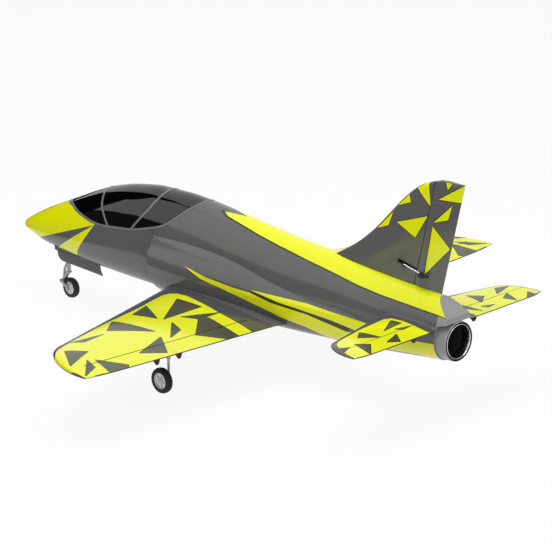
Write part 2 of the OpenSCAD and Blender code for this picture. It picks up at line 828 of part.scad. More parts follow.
module cone_y(x, ys, rs) {
    translate([x, ys[0], 0]) rotate([-90, 0, 0]) cylinder(r1 = rs[0], r2 = rs[1], h = ys[1] - ys[0]);
}

module surface_zone(hinge_x, ys, cove_r, deep) {
    translate([hinge_x, ys[0], -deep]) cube([2 * deep, ys[1] - ys[0], 2 * deep]);
    cone_y(hinge_x, ys, cove_r);
}

module surface_body(hinge_x, ys, nose_r, deep) {
    wide = ys[1] - ys[0] - 2 * panel_gap;
    intersection() {
        children();
        translate([hinge_x, ys[0] + panel_gap, -deep]) cube([2 * deep, wide, 2 * deep]);
    }
    cone_y(hinge_x, ys + [panel_gap, -panel_gap], nose_r);
}

// Hinge pins of one side; with grow they are the bores that the pins turn in
module wing_pins(grow = 0) {
    reach = pin_reach + 6 * grow;
    for (ends = [[flap_y[0], flap_y[0]], [flap_y[1], aileron_y[0]], [aileron_y[1], aileron_y[1]]])
        rod_y(wing_hinge_x, ends[0] - reach, ends[1] + reach, 0, hinge_d / 2 + grow);
}

module stab_pins(grow = 0) {
    reach = pin_reach + 6 * grow;
    for (y = elevator_y) rod_y(elevator_hinge_x, y - reach, y + reach, 0, hinge_d / 2 + grow);
}

// Retract bay, leg slot and wheel well in the underside of one wing
module gear_cuts() {
    low = -axis_height;
    roof = main_pivot_z + trunnion_r + past;
    half = trunnion_w / 2 + lug_t + past;
    translate([gear_x - half, leg_y - trunnion_r - 2, low])
        cube([2 * half, trunnion_r + 4 + retract_len, roof - low]);
    translate([gear_x - leg_r - 3, well_y - leg_r - 3, low])
        cube([2 * leg_r + 6, leg_y - well_y, main_pivot_z + leg_r + 2 - low]);
    translate([gear_x, well_y, low]) cylinder(r = main_wheel_d / 2 + well_gap,
        h = main_pivot_z - leg_r - wheel_side + well_gap - low);
}

module wing_panel(side) {
    color("#f2ef3a") place() on_side(side) difference() {
        in_wing() difference() {
            wing_loft();
            surface_zone(wing_hinge_x, flap_y, wing_cove_r, 60);
            surface_zone(wing_hinge_x, aileron_y, wing_cove_r, 60);
            wing_pins(play);
            for (link = [flap_link, aileron_link]) translate([wing_hinge_x, link[0], 0])
                servo_pocket(link);
        }
        spar_rods(play);
        gear_cuts();
    }
}

module wing_surface(side, ys, link) {
    color("#f2ef3a") place() on_side(side) in_wing() difference() {
        union() {
            surface_body(wing_hinge_x, ys, wing_nose_r, 60) wing_loft();
            translate([wing_hinge_x, link[0], 0]) horn(link);
        }
        wing_pins(play);
    }
}

module wing_spars() {
    color("#1a1a1c") place() spar_rods();
}

// Tailplane with its elevators
module stab_loft() {
    loft([for (y = plan_stations(stab_plan)) plan_ring(stab_plan, y)]);
}

module stab_panel(side) {
    color("#f2ef3a") place() on_side(side) difference() {
        in_stab() difference() {
            stab_loft();
            surface_zone(elevator_hinge_x, elevator_y, elevator_cove_r, 60);
            stab_pins(play);
            translate([elevator_hinge_x, elevator_link[0], 0]) servo_pocket(elevator_link);
        }
        tail_rods(play);
    }
}

module elevator(side) {
    color("#f2ef3a") place() on_side(side) in_stab() difference() {
        union() {
            surface_body(elevator_hinge_x, elevator_y, elevator_nose_r, 60) stab_loft();
            translate([elevator_hinge_x, elevator_link[0], 0]) horn(elevator_link);
        }
        stab_pins(play);
    }
}

// Fin and rudder, split on the tilted hinge line
module fin_loft(gap) {
    loft([for (share = fin_shares) fin_ring(share, gap)]);
}

module behind_hinge() {
    in_rudder() translate([0, -30, -30]) cube([100, 60, 2 * rudder_len]);
}

module fin() {
    color("#585758") place() difference() {
        union() {
            difference() {
                fin_loft(seat);
                behind_hinge();
                in_rudder() translate([0, 0, -30]) cylinder(r = rudder_cove_r, h = 2 * rudder_len);
                at_rudder_link(rudder_link) servo_pocket(rudder_link, -rudder_link[1]);
            }
            in_rudder() {
                translate([0, 0, lug_at]) cylinder(r = rudder_nose_r, h = lug_w);
                translate([-2 * rudder_cove_r, -2, lug_at]) cube([2 * rudder_cove_r, 4, lug_w]);
            }
        }
        rudder_pins(play);
        tail_rods(play);
    }
}

module rudder() {
    notch = lug_w + 2 * panel_gap;
    color("#585758") place() difference() {
        union() {
            intersection() {
                fin_loft(3 * panel_gap);
                behind_hinge();
            }
            in_rudder() translate([0, 0, rudder_low])
                cylinder(r = rudder_nose_r, h = rudder_high - rudder_low);
            at_rudder_link(rudder_link) horn(rudder_link);
        }
        in_rudder() translate([0, 0, lug_at - panel_gap]) cylinder(r = rudder_cove_r + past, h = notch);
        rudder_pins(play);
    }
}

module tail_spars() {
    color("#1a1a1c") place() tail_rods();
}

module hinge_pins() {
    color("#c9ccd0") place() {
        for (side = [-1, 1]) on_side(side) {
            in_wing() wing_pins();
            in_stab() stab_pins();
        }
        rudder_pins();
        for (side = [-1, 1]) door_pins(side);
    }
}

module servos() {
    color("#26303a") place() {
        for (side = [-1, 1]) on_side(side) {
            for (link = [flap_link, aileron_link]) at_wing_link(link) servo(link);
            at_stab_link(elevator_link) servo(elevator_link);
        }
        at_rudder_link(rudder_link) servo(rudder_link);
    }
}

// Wheels, turned about an axle along y from [radius, y] points
hub_share = 0.62;
crown_step = 18;
module wheel_round(at, profile) {
    translate(at) rotate([-90, 0, 0]) rotate_extrude() polygon(profile);
}

module tyre(at, d, w) {
    r = d / 2;
    crown = r * (1 - hub_share) * 0.8;
    side = [for (a = [-90:crown_step:90]) [r - crown + crown * cos(a), w / 2 * sin(a)]];
    color("#262626") place()
        wheel_round(at, concat([[hub_share * r + play, -0.38 * w]], side, [[hub_share * r + play, 0.38 * w]]));
}

module hub(at, d, w) {
    r = hub_share * d / 2;
    bore = axle_d / 2 + play;
    boss = bore + 2.5;
    rim = 0.38 * w;
    color("#b4b4b4") place() wheel_round(at, [[bore, -w / 2], [boss, -w / 2], [boss, -rim / 2],
        [r - 2, -rim / 2], [r - 2, -rim], [r, -rim], [r, rim], [r - 2, rim], [r - 2, rim / 2],
        [boss, rim / 2], [boss, w / 2], [bore, w / 2]]);
}

// Main gear, drawn to starboard
function main_wheel_at(side) = [gear_x, side * wheel_y, main_axle_z];

module main_strut(side) {
    slim = leg_r - 1;
    slim_len = 0.38 * main_leg_len;
    color("#cecece") place() on_side(side) difference() {
        union() {
            rod_x(gear_x - trunnion_w / 2, gear_x + trunnion_w / 2, leg_y, main_pivot_z, trunnion_r);
            translate([gear_x, leg_y, main_axle_z + slim_len])
                cylinder(r = leg_r, h = main_leg_len - slim_len);
            translate([gear_x, leg_y, main_axle_z]) cylinder(r = slim, h = slim_len + past);
            rod_y(gear_x, leg_y - leg_r, leg_y + leg_r, main_axle_z, leg_r + 1.5);
            rod_y(gear_x, leg_y, wheel_y + main_tyre_w / 2 + past, main_axle_z, axle_d / 2);
        }
        rod_x(gear_x - trunnion_w, gear_x + trunnion_w, leg_y, main_pivot_z, pivot_d / 2 + play);
    }
}

module main_retracts() {
    half = trunnion_w / 2 + lug_t + past - seat;
    block_y = leg_y + trunnion_r + 1.5;
    color("#3c3e42") place() for (side = [-1, 1]) on_side(side) {
        translate([gear_x - half, block_y, main_pivot_z - 7])
            cube([2 * half, leg_y + retract_len + 2 - seat - block_y, 7 + trunnion_r]);
        for (end = [-1, 1])
            translate([gear_x + (end > 0 ? trunnion_w / 2 + seat : -half), leg_y - trunnion_r,
                main_pivot_z - trunnion_r])
                cube([half - trunnion_w / 2 - seat, trunnion_r + 3 + block_y - leg_y, 2 * trunnion_r]);
        rod_x(gear_x - half, gear_x + half, leg_y, main_pivot_z, pivot_d / 2);
    }
}

// Nose gear
nose_trunnion_half = 7;
cheek_half = nose_trunnion_half + seat + lug_t;
plate_z = nose_pivot[1] + 8;

module nose_retract() {
    x0 = nose_pivot[0] - 8;
    color("#3c3e42") place() {
        intersection() {
            bay_loft(seat);
            translate([bay_front, -wing_root_y, plate_z])
                cube([nose_pivot[0] + 12 - bay_front, 2 * wing_root_y, 3]);
        }
        for (side = [-1, 1]) on_side(side)
            translate([x0, nose_trunnion_half + seat, nose_pivot[1] - trunnion_r])
                cube([16, lug_t, plate_z - nose_pivot[1] + trunnion_r + past]);
        translate([bay_front + 5, -10, plate_z - 14]) cube([x0 - 2 - bay_front - 5, 20, 15]);
        rod_y(nose_pivot[0], -cheek_half, cheek_half, nose_pivot[1], pivot_d / 2);
    }
}

module nose_strut() {
    color("#cecece") place() difference() {
        union() {
            rod_y(nose_pivot[0], -nose_trunnion_half, nose_trunnion_half, nose_pivot[1], trunnion_r);
            translate([nose_pivot[0], 0, tube_low]) cylinder(r = tube_r, h = nose_pivot[1] - tube_low);
        }
        rod_y(nose_pivot[0], -2 * nose_trunnion_half, 2 * nose_trunnion_half, nose_pivot[1],
            pivot_d / 2 + play);
        translate([nose_pivot[0], 0, tube_low - past]) cylinder(r = piston_r + play, h = 34 + past);
    }
}

collar_len = 7;
module nose_fork() {
    top = [nose_pivot[0], tube_low - panel_gap - collar_len + 2];
    run = link_pivot - top;
    color("#cecece") place() difference() {
        union() {
            translate([nose_pivot[0], 0, tube_low - panel_gap - collar_len]) {
                cylinder(r = piston_r, h = collar_len + 32);
                cylinder(r = tube_r, h = collar_len);
            }
            translate([top[0], 0, top[1]]) rotate([0, atan2(run[0], run[1]), 0])
                cylinder(r = piston_r, h = norm(run));
            rod_y(link_pivot[0], -fork_boss[1], fork_boss[1], link_pivot[1], fork_boss[0]);
        }
        rod_y(link_pivot[0], -2 * fork_boss[1], 2 * fork_boss[1], link_pivot[1], link_pin_r + play);
    }
}

module nose_link() {
    inner = nose_tyre_w / 2 + link_side;
    outer = inner + link_arm_t;
    run = nose_axle - link_pivot;
    color("#b8b8b8") place() {
        for (side = [-1, 1]) on_side(side) {
            rod_y(link_pivot[0], inner, outer, link_pivot[1], link_boss_r[0]);
            rod_y(nose_axle[0], inner, outer, nose_axle[1], link_boss_r[1]);
            translate([link_pivot[0], inner + seat, link_pivot[1]])
                rotate([0, -atan2(run[1], run[0]), 0]) translate([0, 0, -link_arm_h / 2])
                    cube([norm(run), link_arm_t - 2 * seat, link_arm_h]);
        }
        rod_y(link_pivot[0], -outer - seat, outer + seat, link_pivot[1], link_pin_r);
        rod_y(nose_axle[0], -outer - seat, outer + seat, nose_axle[1], axle_d / 2);
    }
}

nose_wheel_at = [nose_axle[0], 0, nose_axle[1]];

module nose_door(side) {
    len = door_x[1] - door_x[0];
    color("#565656") place() on_side(side) difference() {
        union() {
            rod_x(door_x[0], door_x[1], door_hinge[0], door_hinge[1], door_barrel_r);
            translate([door_x[0], door_hinge[0] - door_t / 2, door_hinge[1] - door_w])
                cube([len, door_t, door_w]);
        }
        for (x = door_x) rod_x(x - 7, x + 7, door_hinge[0], door_hinge[1], hinge_d / 2 + play);
    }
}

// One named piece, or the whole model
fuselage(-past, splice_x[0] - seat);  // nose_shell
fuselage(splice_x[0], splice_x[1]);  // fuselage_shell
fuselage(splice_x[1] + seat, overall_len);  // tail_shell
canopy_panes();
canopy_frame();
fan_hatch();
hatch_screws();
battery_tray();
battery_pack();
electronics();
fan_former();
fan_housing();
fan_motor();
fan_rotor();
thrust_tube();
nozzle_ring();
wing_panel(-1);  // wing_left
wing_panel(1);  // wing_right
wing_spars();
stab_panel(-1);  // stab_left
stab_panel(1);  // stab_right
fin();
tail_spars();
hinge_pins();
servos();
wing_surface(-1, flap_y, flap_link);  // flap_left
wing_surface(1, flap_y, flap_link);  // flap_right
wing_surface(-1, aileron_y, aileron_link);  // aileron_left
wing_surface(1, aileron_y, aileron_link);  // aileron_right
elevator(-1);  // elevator_left
elevator(1);  // elevator_right
rudder();
place() on_side(-1) at_wing_link(flap_link) servo_arm(flap_link);  // flap_arm_left
place() on_side(1) at_wing_link(flap_link) servo_arm(flap_link);  // flap_arm_right
place() on_side(-1) at_wing_link(aileron_link) servo_arm(aileron_link);  // aileron_arm_left
place() on_side(1) at_wing_link(aileron_link) servo_arm(aileron_link);  // aileron_arm_right
place() on_side(-1) at_stab_link(elevator_link) servo_arm(elevator_link);  // elevator_arm_left
place() on_side(1) at_stab_link(elevator_link) servo_arm(elevator_link);  // elevator_arm_right
place() at_rudder_link(rudder_link) servo_arm(rudder_link);  // rudder_arm
place() on_side(-1) at_wing_link(flap_link) pushrod(flap_link);  // flap_rod_left
place() on_side(1) at_wing_link(flap_link) pushrod(flap_link);  // flap_rod_right
place() on_side(-1) at_wing_link(aileron_link) pushrod(aileron_link);  // aileron_rod_left
place() on_side(1) at_wing_link(aileron_link) pushrod(aileron_link);  // aileron_rod_right
place() on_side(-1) at_stab_link(elevator_link) pushrod(elevator_link);  // elevator_rod_left
place() on_side(1) at_stab_link(elevator_link) pushrod(elevator_link);  // elevator_rod_right
place() at_rudder_link(rudder_link) pushrod(rudder_link);  // rudder_rod
union() {  // retracts
    nose_retract();
    main_retracts();
}
nose_strut();
nose_fork();
nose_link();
hub(nose_wheel_at, nose_wheel_d, nose_tyre_w);  // nose_hub
tyre(nose_wheel_at, nose_wheel_d, nose_tyre_w);  // nose_tyre
nose_door(-1);  // nose_door_left
nose_door(1);  // nose_door_right
main_strut(-1);  // main_strut_left
main_strut(1);  // main_strut_right
hub(main_wheel_at(-1), main_wheel_d, main_tyre_w);  // main_hub_left
hub(main_wheel_at(1), main_wheel_d, main_tyre_w);  // main_hub_right
tyre(main_wheel_at(-1), main_wheel_d, main_tyre_w);  // main_tyre_left
tyre(main_wheel_at(1), main_wheel_d, main_tyre_w);  // main_tyre_right
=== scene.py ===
"""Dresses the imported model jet: painted foam, tinted canopy, ducted fan, linkages and landing gear."""
import logging
import math
from dataclasses import dataclass, field
from enum import Enum
from typing import Callable, Sequence

import bmesh
import bpy
from mathutils import Matrix, Vector


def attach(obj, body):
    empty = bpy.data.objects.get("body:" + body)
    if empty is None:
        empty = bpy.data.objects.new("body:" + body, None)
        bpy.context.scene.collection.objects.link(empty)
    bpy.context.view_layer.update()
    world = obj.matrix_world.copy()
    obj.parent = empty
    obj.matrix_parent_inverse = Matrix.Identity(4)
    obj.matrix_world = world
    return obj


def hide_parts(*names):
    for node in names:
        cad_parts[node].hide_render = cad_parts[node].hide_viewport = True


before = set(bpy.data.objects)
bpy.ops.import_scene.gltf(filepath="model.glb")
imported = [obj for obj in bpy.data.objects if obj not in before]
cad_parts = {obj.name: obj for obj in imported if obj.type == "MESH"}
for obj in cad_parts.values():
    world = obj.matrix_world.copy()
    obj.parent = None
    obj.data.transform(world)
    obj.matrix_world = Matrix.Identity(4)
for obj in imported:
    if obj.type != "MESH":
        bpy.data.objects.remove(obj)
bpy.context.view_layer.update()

LOG = logging.getLogger("model_jet")

# Stations run aft from the nose tip in millimetres, y to starboard and z up from the thrust line
HALF_LENGTH = 588.0
AXIS_HEIGHT = 148.0
PANEL_GAP = 0.5
SEAT = 0.3

# Angle past which an edge stays sharp
CREASE = math.radians(32.0)

# The slow drift of a finish: its pitch, where it reaches the main colour and how it sways the gloss
DRIFT_PITCH = 9.0
TINT_KNEE = 0.22
SHEEN_SPREAD = 0.12
# Roughness of a clear coat
COAT_ROUGH = 0.08

Point = tuple[float, float, float]
Flat = tuple[float, float]
Ring = list[Point]
Thing = bpy.types.Object
Tree = bpy.types.NodeTree
Socket = bpy.types.NodeSocket


def row(p: Sequence[float]) -> Vector:
    """Turns a station point in millimetres into the shared frame in metres.

    Args:
        p: Station, starboard offset and height in millimetres.

    Returns:
        The same point in metres, over the ground under the middle of the model.
    """
    return Vector(((p[0] - HALF_LENGTH) / 1000, p[1] / 1000, (p[2] + AXIS_HEIGHT) / 1000))


def mix(a: float, b: float, t: float) -> float:
    """Returns the value a share t of the way from a to b."""
    return a + (b - a) * t


def steps(a: float, b: float, count: int) -> list[float]:
    """Returns count + 1 even steps from a to b."""
    return [mix(a, b, i / count) for i in range(count + 1)]


@dataclass(frozen=True)
class Batten:
    """A smooth line through a few stations, as a bent batten would lie."""

    knots: tuple[Flat, ...]

    def slope(self, i: int) -> float:
        """Returns the slope at one knot, flat where the line turns."""
        k = self.knots
        if i in (0, len(k) - 1):
            j = min(i, len(k) - 2)
            return (k[j + 1][1] - k[j][1]) / (k[j + 1][0] - k[j][0])
        before = (k[i][1] - k[i - 1][1]) / (k[i][0] - k[i - 1][0])
        after = (k[i + 1][1] - k[i][1]) / (k[i + 1][0] - k[i][0])
        return 0.0 if before * after <= 0 else 2 * before * after / (before + after)

    def at(self, x: float) -> float:
        """Reads the line at one station.

        Args:
            x: Station, held inside the ends of the line.

        Returns:
            The value of the line there.
        """
        k = self.knots
        if x <= k[0][0]:
            return k[0][1]
        if x >= k[-1][0]:
            return k[-1][1]
        i = max(j for j in range(len(k) - 1) if k[j][0] <= x)
        h = k[i + 1][0] - k[i][0]
        t = (x - k[i][0]) / h
        rise = t * t * (3 - 2 * t)
        lead = t * (1 - t) ** 2 * h * self.slope(i)
        trail = -t * t * (1 - t) * h * self.slope(i + 1)
        return mix(k[i][1], k[i + 1][1], rise) + lead + trail


class Side(Enum):
    """The two halves of the model."""

    LEFT = -1
    RIGHT = 1

    @property
    def word(self) -> str:
        """Returns the word used in node and body names."""
        return self.name.lower()


class View(Enum):
    """The two ways that a paint mask is held against the model."""

    SIDE = (0, 2)
    TOP = (0, 1)


def srgb(code: str) -> tuple[float, float, float, float]:
    """Turns an sRGB hex colour into linear light.

    Args:
        code: Six hex digits after a hash sign.

    Returns:
        Linear red, green and blue, with full opacity.
    """
    parts = [int(code[i:i + 2], 16) / 255 for i in (1, 3, 5)]
    light = [c / 12.92 if c <= 0.04045 else ((c + 0.055) / 1.055) ** 2.4 for c in parts]
    return (*light, 1.0)


def add_node(tree: Tree, kind: str, settings: dict | None = None,
             inputs: dict | None = None) -> bpy.types.Node:
    """Adds one node with its settings, values and links.

    Args:
        tree: The node tree that takes the node.
        kind: The node's type name.
        settings: Plain attributes of the node.
        inputs: Values or output sockets, keyed by input name or number.

    Returns:
        The new node.
    """
    node = tree.nodes.new(kind)
    for key, value in (settings or {}).items():
        setattr(node, key, value)
    for key, value in (inputs or {}).items():
        if isinstance(value, Socket):
            tree.links.new(value, node.inputs[key])
        else:
            node.inputs[key].default_value = value
    return node


def maths(tree: Tree, operation: str, *values: Socket | float) -> Socket:
    """Adds a sum on two values and returns its result."""
    node = add_node(tree, "ShaderNodeMath", {"operation": operation}, dict(enumerate(values)))
    return node.outputs["Value"]


class Grain(Enum):
    """The fine structure that a surface shows."""

    BEAD = "bead"
    MOULDED = "moulded"
    TURNED = "turned"
    PLY = "ply"
    TWILL = "twill"
    SMOOTH = "smooth"


@dataclass(frozen=True)
class Finish:
    """A surface as it was made, with its colours, gloss and grain.

    Attributes:
        name: What the material is.
        light: Main colour.
        dark: Colour of the lows, grain lines or worn spots.
        rough: Roughness of the surface.
        grain: Kind of fine structure.
        size_mm: Spacing of that structure.
        depth: Strength of the bump.
        metallic: One for bare metal.
        coat: Weight of a clear gloss coat.
        ior: Index of refraction of a plastic or rubber.
    """

    name: str
    light: str
    dark: str
    rough: float
    grain: Grain
    size_mm: float
    depth: float = 0.1
    metallic: float = 0.0
    coat: float = 0.0
    ior: float = 1.5

    def pattern(self, tree: Tree) -> Socket:
        """Adds the grain and returns its height.

        Args:
            tree: The material's node tree.

        Returns:
            A value socket from low to high.
        """
        where = add_node(tree, "ShaderNodeTexCoord").outputs["Object"]
        pitch = 1000 / self.size_mm
        if self.grain is Grain.BEAD:
            cell = add_node(tree, "ShaderNodeTexVoronoi", None, {"Vector": where, "Scale": pitch})
            return cell.outputs["Distance"]
        if self.grain is Grain.TURNED:
            rings = add_node(tree, "ShaderNodeTexWave", {"bands_direction": "X"},
                             {"Vector": where, "Scale": pitch / 6.28, "Distortion": 1.5, "Detail": 3.0})
            return rings.outputs["Fac"]
        if self.grain is Grain.PLY:
            long = add_node(tree, "ShaderNodeMapping", None, {"Vector": where, "Scale": (0.08, 1.0, 1.0)})
            fibre = add_node(tree, "ShaderNodeTexNoise", None,
                             {"Vector": long.outputs["Vector"], "Scale": pitch, "Detail": 6.0})
            return fibre.outputs["Fac"]
        if self.grain is Grain.TWILL:
            check = add_node(tree, "ShaderNodeTexWave", {"bands_direction": "DIAGONAL"},
                             {"Vector": where, "Scale": pitch / 6.28, "Distortion": 0.6})
            return check.outputs["Fac"]
        cloud = add_node(tree, "ShaderNodeTexNoise", None,
                         {"Vector": where, "Scale": pitch, "Detail": 4.0, "Roughness": 0.6})
        return cloud.outputs["Fac"]

    def material(self) -> bpy.types.Material:
        """Makes the material once and hands out the same one after that.

        Returns:
            The Blender material of this finish.
        """
        known = bpy.data.materials.get(self.name)
        if known:
            return known
        made = bpy.data.materials.new(self.name)
        made.use_nodes = True
        tree = made.node_tree
        tree.nodes.clear()
        height = self.pattern(tree)
        where = add_node(tree, "ShaderNodeTexCoord").outputs["Object"]
        # A slow drift over a hand's width keeps a large surface from looking flat
        cloud = {"Vector": where, "Scale": DRIFT_PITCH, "Detail": 2.0}
        drift = add_node(tree, "ShaderNodeTexNoise", None, cloud).outputs["Fac"]
        tint = add_node(tree, "ShaderNodeValToRGB", None, {"Fac": maths(tree, "MULTIPLY", height, drift)})
        for stop, code in zip(tint.color_ramp.elements, (self.dark, self.light)):
            stop.color = srgb(code)
        tint.color_ramp.elements[1].position = TINT_KNEE
        low, high = (self.rough * (1 + k * SHEEN_SPREAD) for k in (-1, 1))
        sheen = add_node(tree, "ShaderNodeMapRange", None, {"Value": drift, "To Min": low, "To Max": high})
        bump = add_node(tree, "ShaderNodeBump", None,
                        {"Height": height, "Strength": self.depth, "Distance": self.size_mm / 4000})
        shader = add_node(tree, "ShaderNodeBsdfPrincipled", None, {
            "Base Color": tint.outputs["Color"], "Roughness": sheen.outputs["Result"],
            "Normal": bump.outputs["Normal"], "Metallic": self.metallic, "IOR": self.ior,
            "Coat Weight": self.coat, "Coat Roughness": COAT_ROUGH})
        add_node(tree, "ShaderNodeOutputMaterial", None, {"Surface": shader.outputs["BSDF"]})
        return made


# Moulded bead foam under sprayed gloss paint, with a trace of the 4 mm beads in the skin
GREY_PAINT = Finish("grey_paint_on_moulded_foam", "#626163", "#575658", 0.11, Grain.BEAD, 4.0, 0.008)
DARK_PAINT = Finish("dark_grey_paint_on_moulded_foam", "#504f51", "#464647", 0.13, Grain.BEAD, 4.0, 0.008)
LINE_PAINT = Finish("olive_black_lining_on_foam", "#33351b", "#2a2b18", 0.2, Grain.BEAD, 4.0, 0.008)
YELLOW_PAINT = Finish("yellow_paint_on_moulded_foam", "#eef306", "#e3e903", 0.12, Grain.BEAD, 4.0, 0.008)
SHADE_PAINT = Finish("olive_grey_paint_on_foam", "#464a30", "#3d412a", 0.18, Grain.BEAD, 4.0, 0.008)
RAW_FOAM = Finish("bare_black_moulded_foam", "#232426", "#17181a", 0.75, Grain.BEAD, 4.0, 0.4)
# Vacuum-formed sheet, tinted so dark that it only mirrors the room
CANOPY_TINT = Finish("smoke_tinted_formed_sheet", "#060607", "#030303", 0.03, Grain.SMOOTH, 90.0, 0.0,
                     ior=1.62)
CANOPY_FRAME = Finish("grey_painted_canopy_frame", "#777778", "#6b6b6c", 0.25, Grain.MOULDED, 0.8, 0.02)
# Glass-filled nylon, moulded, with a fine even grain
BLACK_NYLON = Finish("black_glass_filled_nylon", "#1c1d1f", "#121314", 0.5, Grain.MOULDED, 0.6, 0.12)
SERVO_CASE = Finish("dark_blue_moulded_abs", "#27333f", "#1e2832", 0.4, Grain.MOULDED, 0.7, 0.08)
SHRINK_WRAP = Finish("blue_shrink_wrap_film", "#28408f", "#1d3070", 0.22, Grain.MOULDED, 9.0, 0.12, coat=0.4)
# Zinc or chrome plated steel wire and tube, drawn smooth
PLATED_STEEL = Finish("plated_steel", "#d3d4d6", "#b9babd", 0.22, Grain.MOULDED, 1.2, 0.02, 1.0)
LEG_ALLOY = Finish("satin_anodised_alloy", "#9fa0a2", "#8a8b8d", 0.34, Grain.MOULDED, 1.0, 0.03, 1.0)
TURNED_ALLOY = Finish("turned_aluminium", "#c4c5c8", "#a5a6aa", 0.32, Grain.TURNED, 0.7, 0.08, 1.0)
SILVER_PAINT = Finish("silver_painted_hub_plastic", "#e8e8ea", "#d8d8da", 0.4, Grain.MOULDED, 1.0, 0.03, 0.6)
NOZZLE_PAINT = Finish("silver_painted_nozzle", "#9d9c9e", "#908f91", 0.32, Grain.TURNED, 1.0, 0.04)
RUBBER = Finish("moulded_tyre_rubber", "#1c1c1d", "#131314", 0.72, Grain.MOULDED, 0.9, 0.25, ior=1.52)
BIRCH_PLY = Finish("birch_plywood", "#cfae7c", "#a9834f", 0.6, Grain.PLY, 2.0, 0.12)
CARBON_TUBE = Finish("pultruded_carbon_tube", "#2a2b2d", "#151617", 0.3, Grain.TWILL, 1.5, 0.06, coat=0.3)
# Black plastic of the thrust tube; the nozzle ring also uses this near-black in its groove, as painted shade
# of the gap into the tail
DUCT_BLACK_AND_GAP_SHADE = Finish("black_rolled_plastic_duct", "#3a3633", "#2c2926", 0.42, Grain.MOULDED, 1.5, 0.05)


@dataclass
class Shape:
    """A closed surface in station millimetres, before it becomes a Blender piece."""

    points: list[Point] = field(default_factory=list)
    faces: list[tuple[int, ...]] = field(default_factory=list)

    def add(self, other: "Shape") -> "Shape":
        """Adds a second surface beside this one and returns this one."""
        shift = len(self.points)
        self.points += other.points
        self.faces += [tuple(i + shift for i in f) for f in other.faces]
        return self

    def moved(self, where: Callable[[Point], Point]) -> "Shape":
        """Returns a copy with every point sent through where."""
        return Shape([tuple(where(p)) for p in self.points], list(self.faces))

    def mirrored(self, side: Side) -> "Shape":
        """Returns this shape on one side of the model, drawn to starboard."""
        return self.moved(lambda p: (p[0], p[1] * side.value, p[2]))

    def thing(self, name: str, finishes: Sequence[Finish]) -> Thing:
        """Makes the Blender piece.

        Args:
            name: The piece's name.
            finishes: Its material slots, the first one for every face.

        Returns:
            A piece at the origin with its place in its mesh.
        """
        mesh = bpy.data.meshes.new(name)
        mesh.from_pydata([row(p) for p in self.points], [], self.faces)
        for finish in finishes:
            mesh.materials.append(finish.material())
        piece = bpy.data.objects.new(name, mesh)
        bpy.context.scene.collection.objects.link(piece)
        tidy(piece)
        return piece


def loft(rings: Sequence[Ring]) -> Shape:
    """Skins a row of rings that have the same number of points.

    Args:
        rings: Rings of points, each one closed.

    Returns:
        The skinned surface, with a cap on the first and on the last ring.
    """
    m = len(rings[0])
    shape = Shape([p for r in rings for p in r])
    for i in range(len(rings) - 1):
        for j in range(m):
            k = (j + 1) % m
            shape.faces.append((i * m + j, i * m + k, (i + 1) * m + k, (i + 1) * m + j))
    shape.faces.append(tuple(range(m - 1, -1, -1)))
    shape.faces.append(tuple((len(rings) - 1) * m + j for j in range(m)))
    return shape


def prism(outline: Sequence[Flat], low: float, high: float) -> Shape:
    """Cuts a block across the model with an outline in side view.

    Args:
        outline: Corners in that view.
        low: Start across the model.
        high: End across the model.

    Returns:
        The closed block.
    """
    return loft([[(x, across, z) for x, z in outline] for across in (low, high)])


def block(low: Point, high: Point) -> Shape:
    """Returns a box between two corners."""
    flat = [(low[0], low[2]), (high[0], low[2]), (high[0], high[2]), (low[0], high[2])]
    return prism(flat, low[1], high[1])


def turned(start: Point, end: Point, profile: Sequence[Flat], count: int = 40) -> Shape:
    """Turns a profile about a line.

    Args:
        start: Point on the line where the profile's first measure is zero.
        end: A second point that gives the direction.
        profile: Pairs of distance along the line and radius; it may return along a bore.
        count: Points round the line.

    Returns:
        The turned surface, shut at both ends.
    """
    axis = (Vector(end) - Vector(start)).normalized()
    one = axis.orthogonal().normalized()
    two = axis.cross(one)
    turn = [2 * math.pi * k / count for k in range(count)]
    rings = []
    for along, radius in profile:
        middle = Vector(start) + axis * along
        rings.append([tuple(middle + radius * (one * math.cos(a) + two * math.sin(a))) for a in turn])
    return loft(rings)


def tube_ring(start: Point, end: Point, profile: Sequence[Flat], count: int = 64) -> Shape:
    """Turns a closed profile about a line, for rings, tubes and tyres."""
    shape = turned(start, end, [*profile, profile[0]], count)
    shape.faces = shape.faces[:-2]
    return shape


def rod(start: Point, end: Point, radius: float, round_off: float = 0.3, count: int = 24) -> Shape:
    """Returns a rod between two points with softened ends."""
    span = (Vector(end) - Vector(start)).length
    ease = min(round_off, radius * 0.45, span * 0.3)
    profile = [(0, radius - ease), (ease, radius), (span - ease, radius), (span, radius - ease)]
    return turned(start, end, profile, count)


def tidy(piece: Thing) -> None:
    """Merges doubles, turns faces outwards and shades smooth with sharp creases."""
    work = bmesh.new()
    work.from_mesh(piece.data)
    bmesh.ops.remove_doubles(work, verts=work.verts, dist=2e-6)
    bmesh.ops.dissolve_degenerate(work, edges=work.edges, dist=1e-6)
    bmesh.ops.recalc_face_normals(work, faces=work.faces)
    for face in work.faces:
        face.smooth = True
    for edge in work.edges:
        edge.smooth = len(edge.link_faces) == 2 and edge.calc_face_angle(0.0) < CREASE
    work.to_mesh(piece.data)
    work.free()
    piece.data.update()


class Cut(Enum):
    """How a second shape changes a piece."""

    AWAY = "DIFFERENCE"
    JOIN = "UNION"
    KEEP = "INTERSECT"


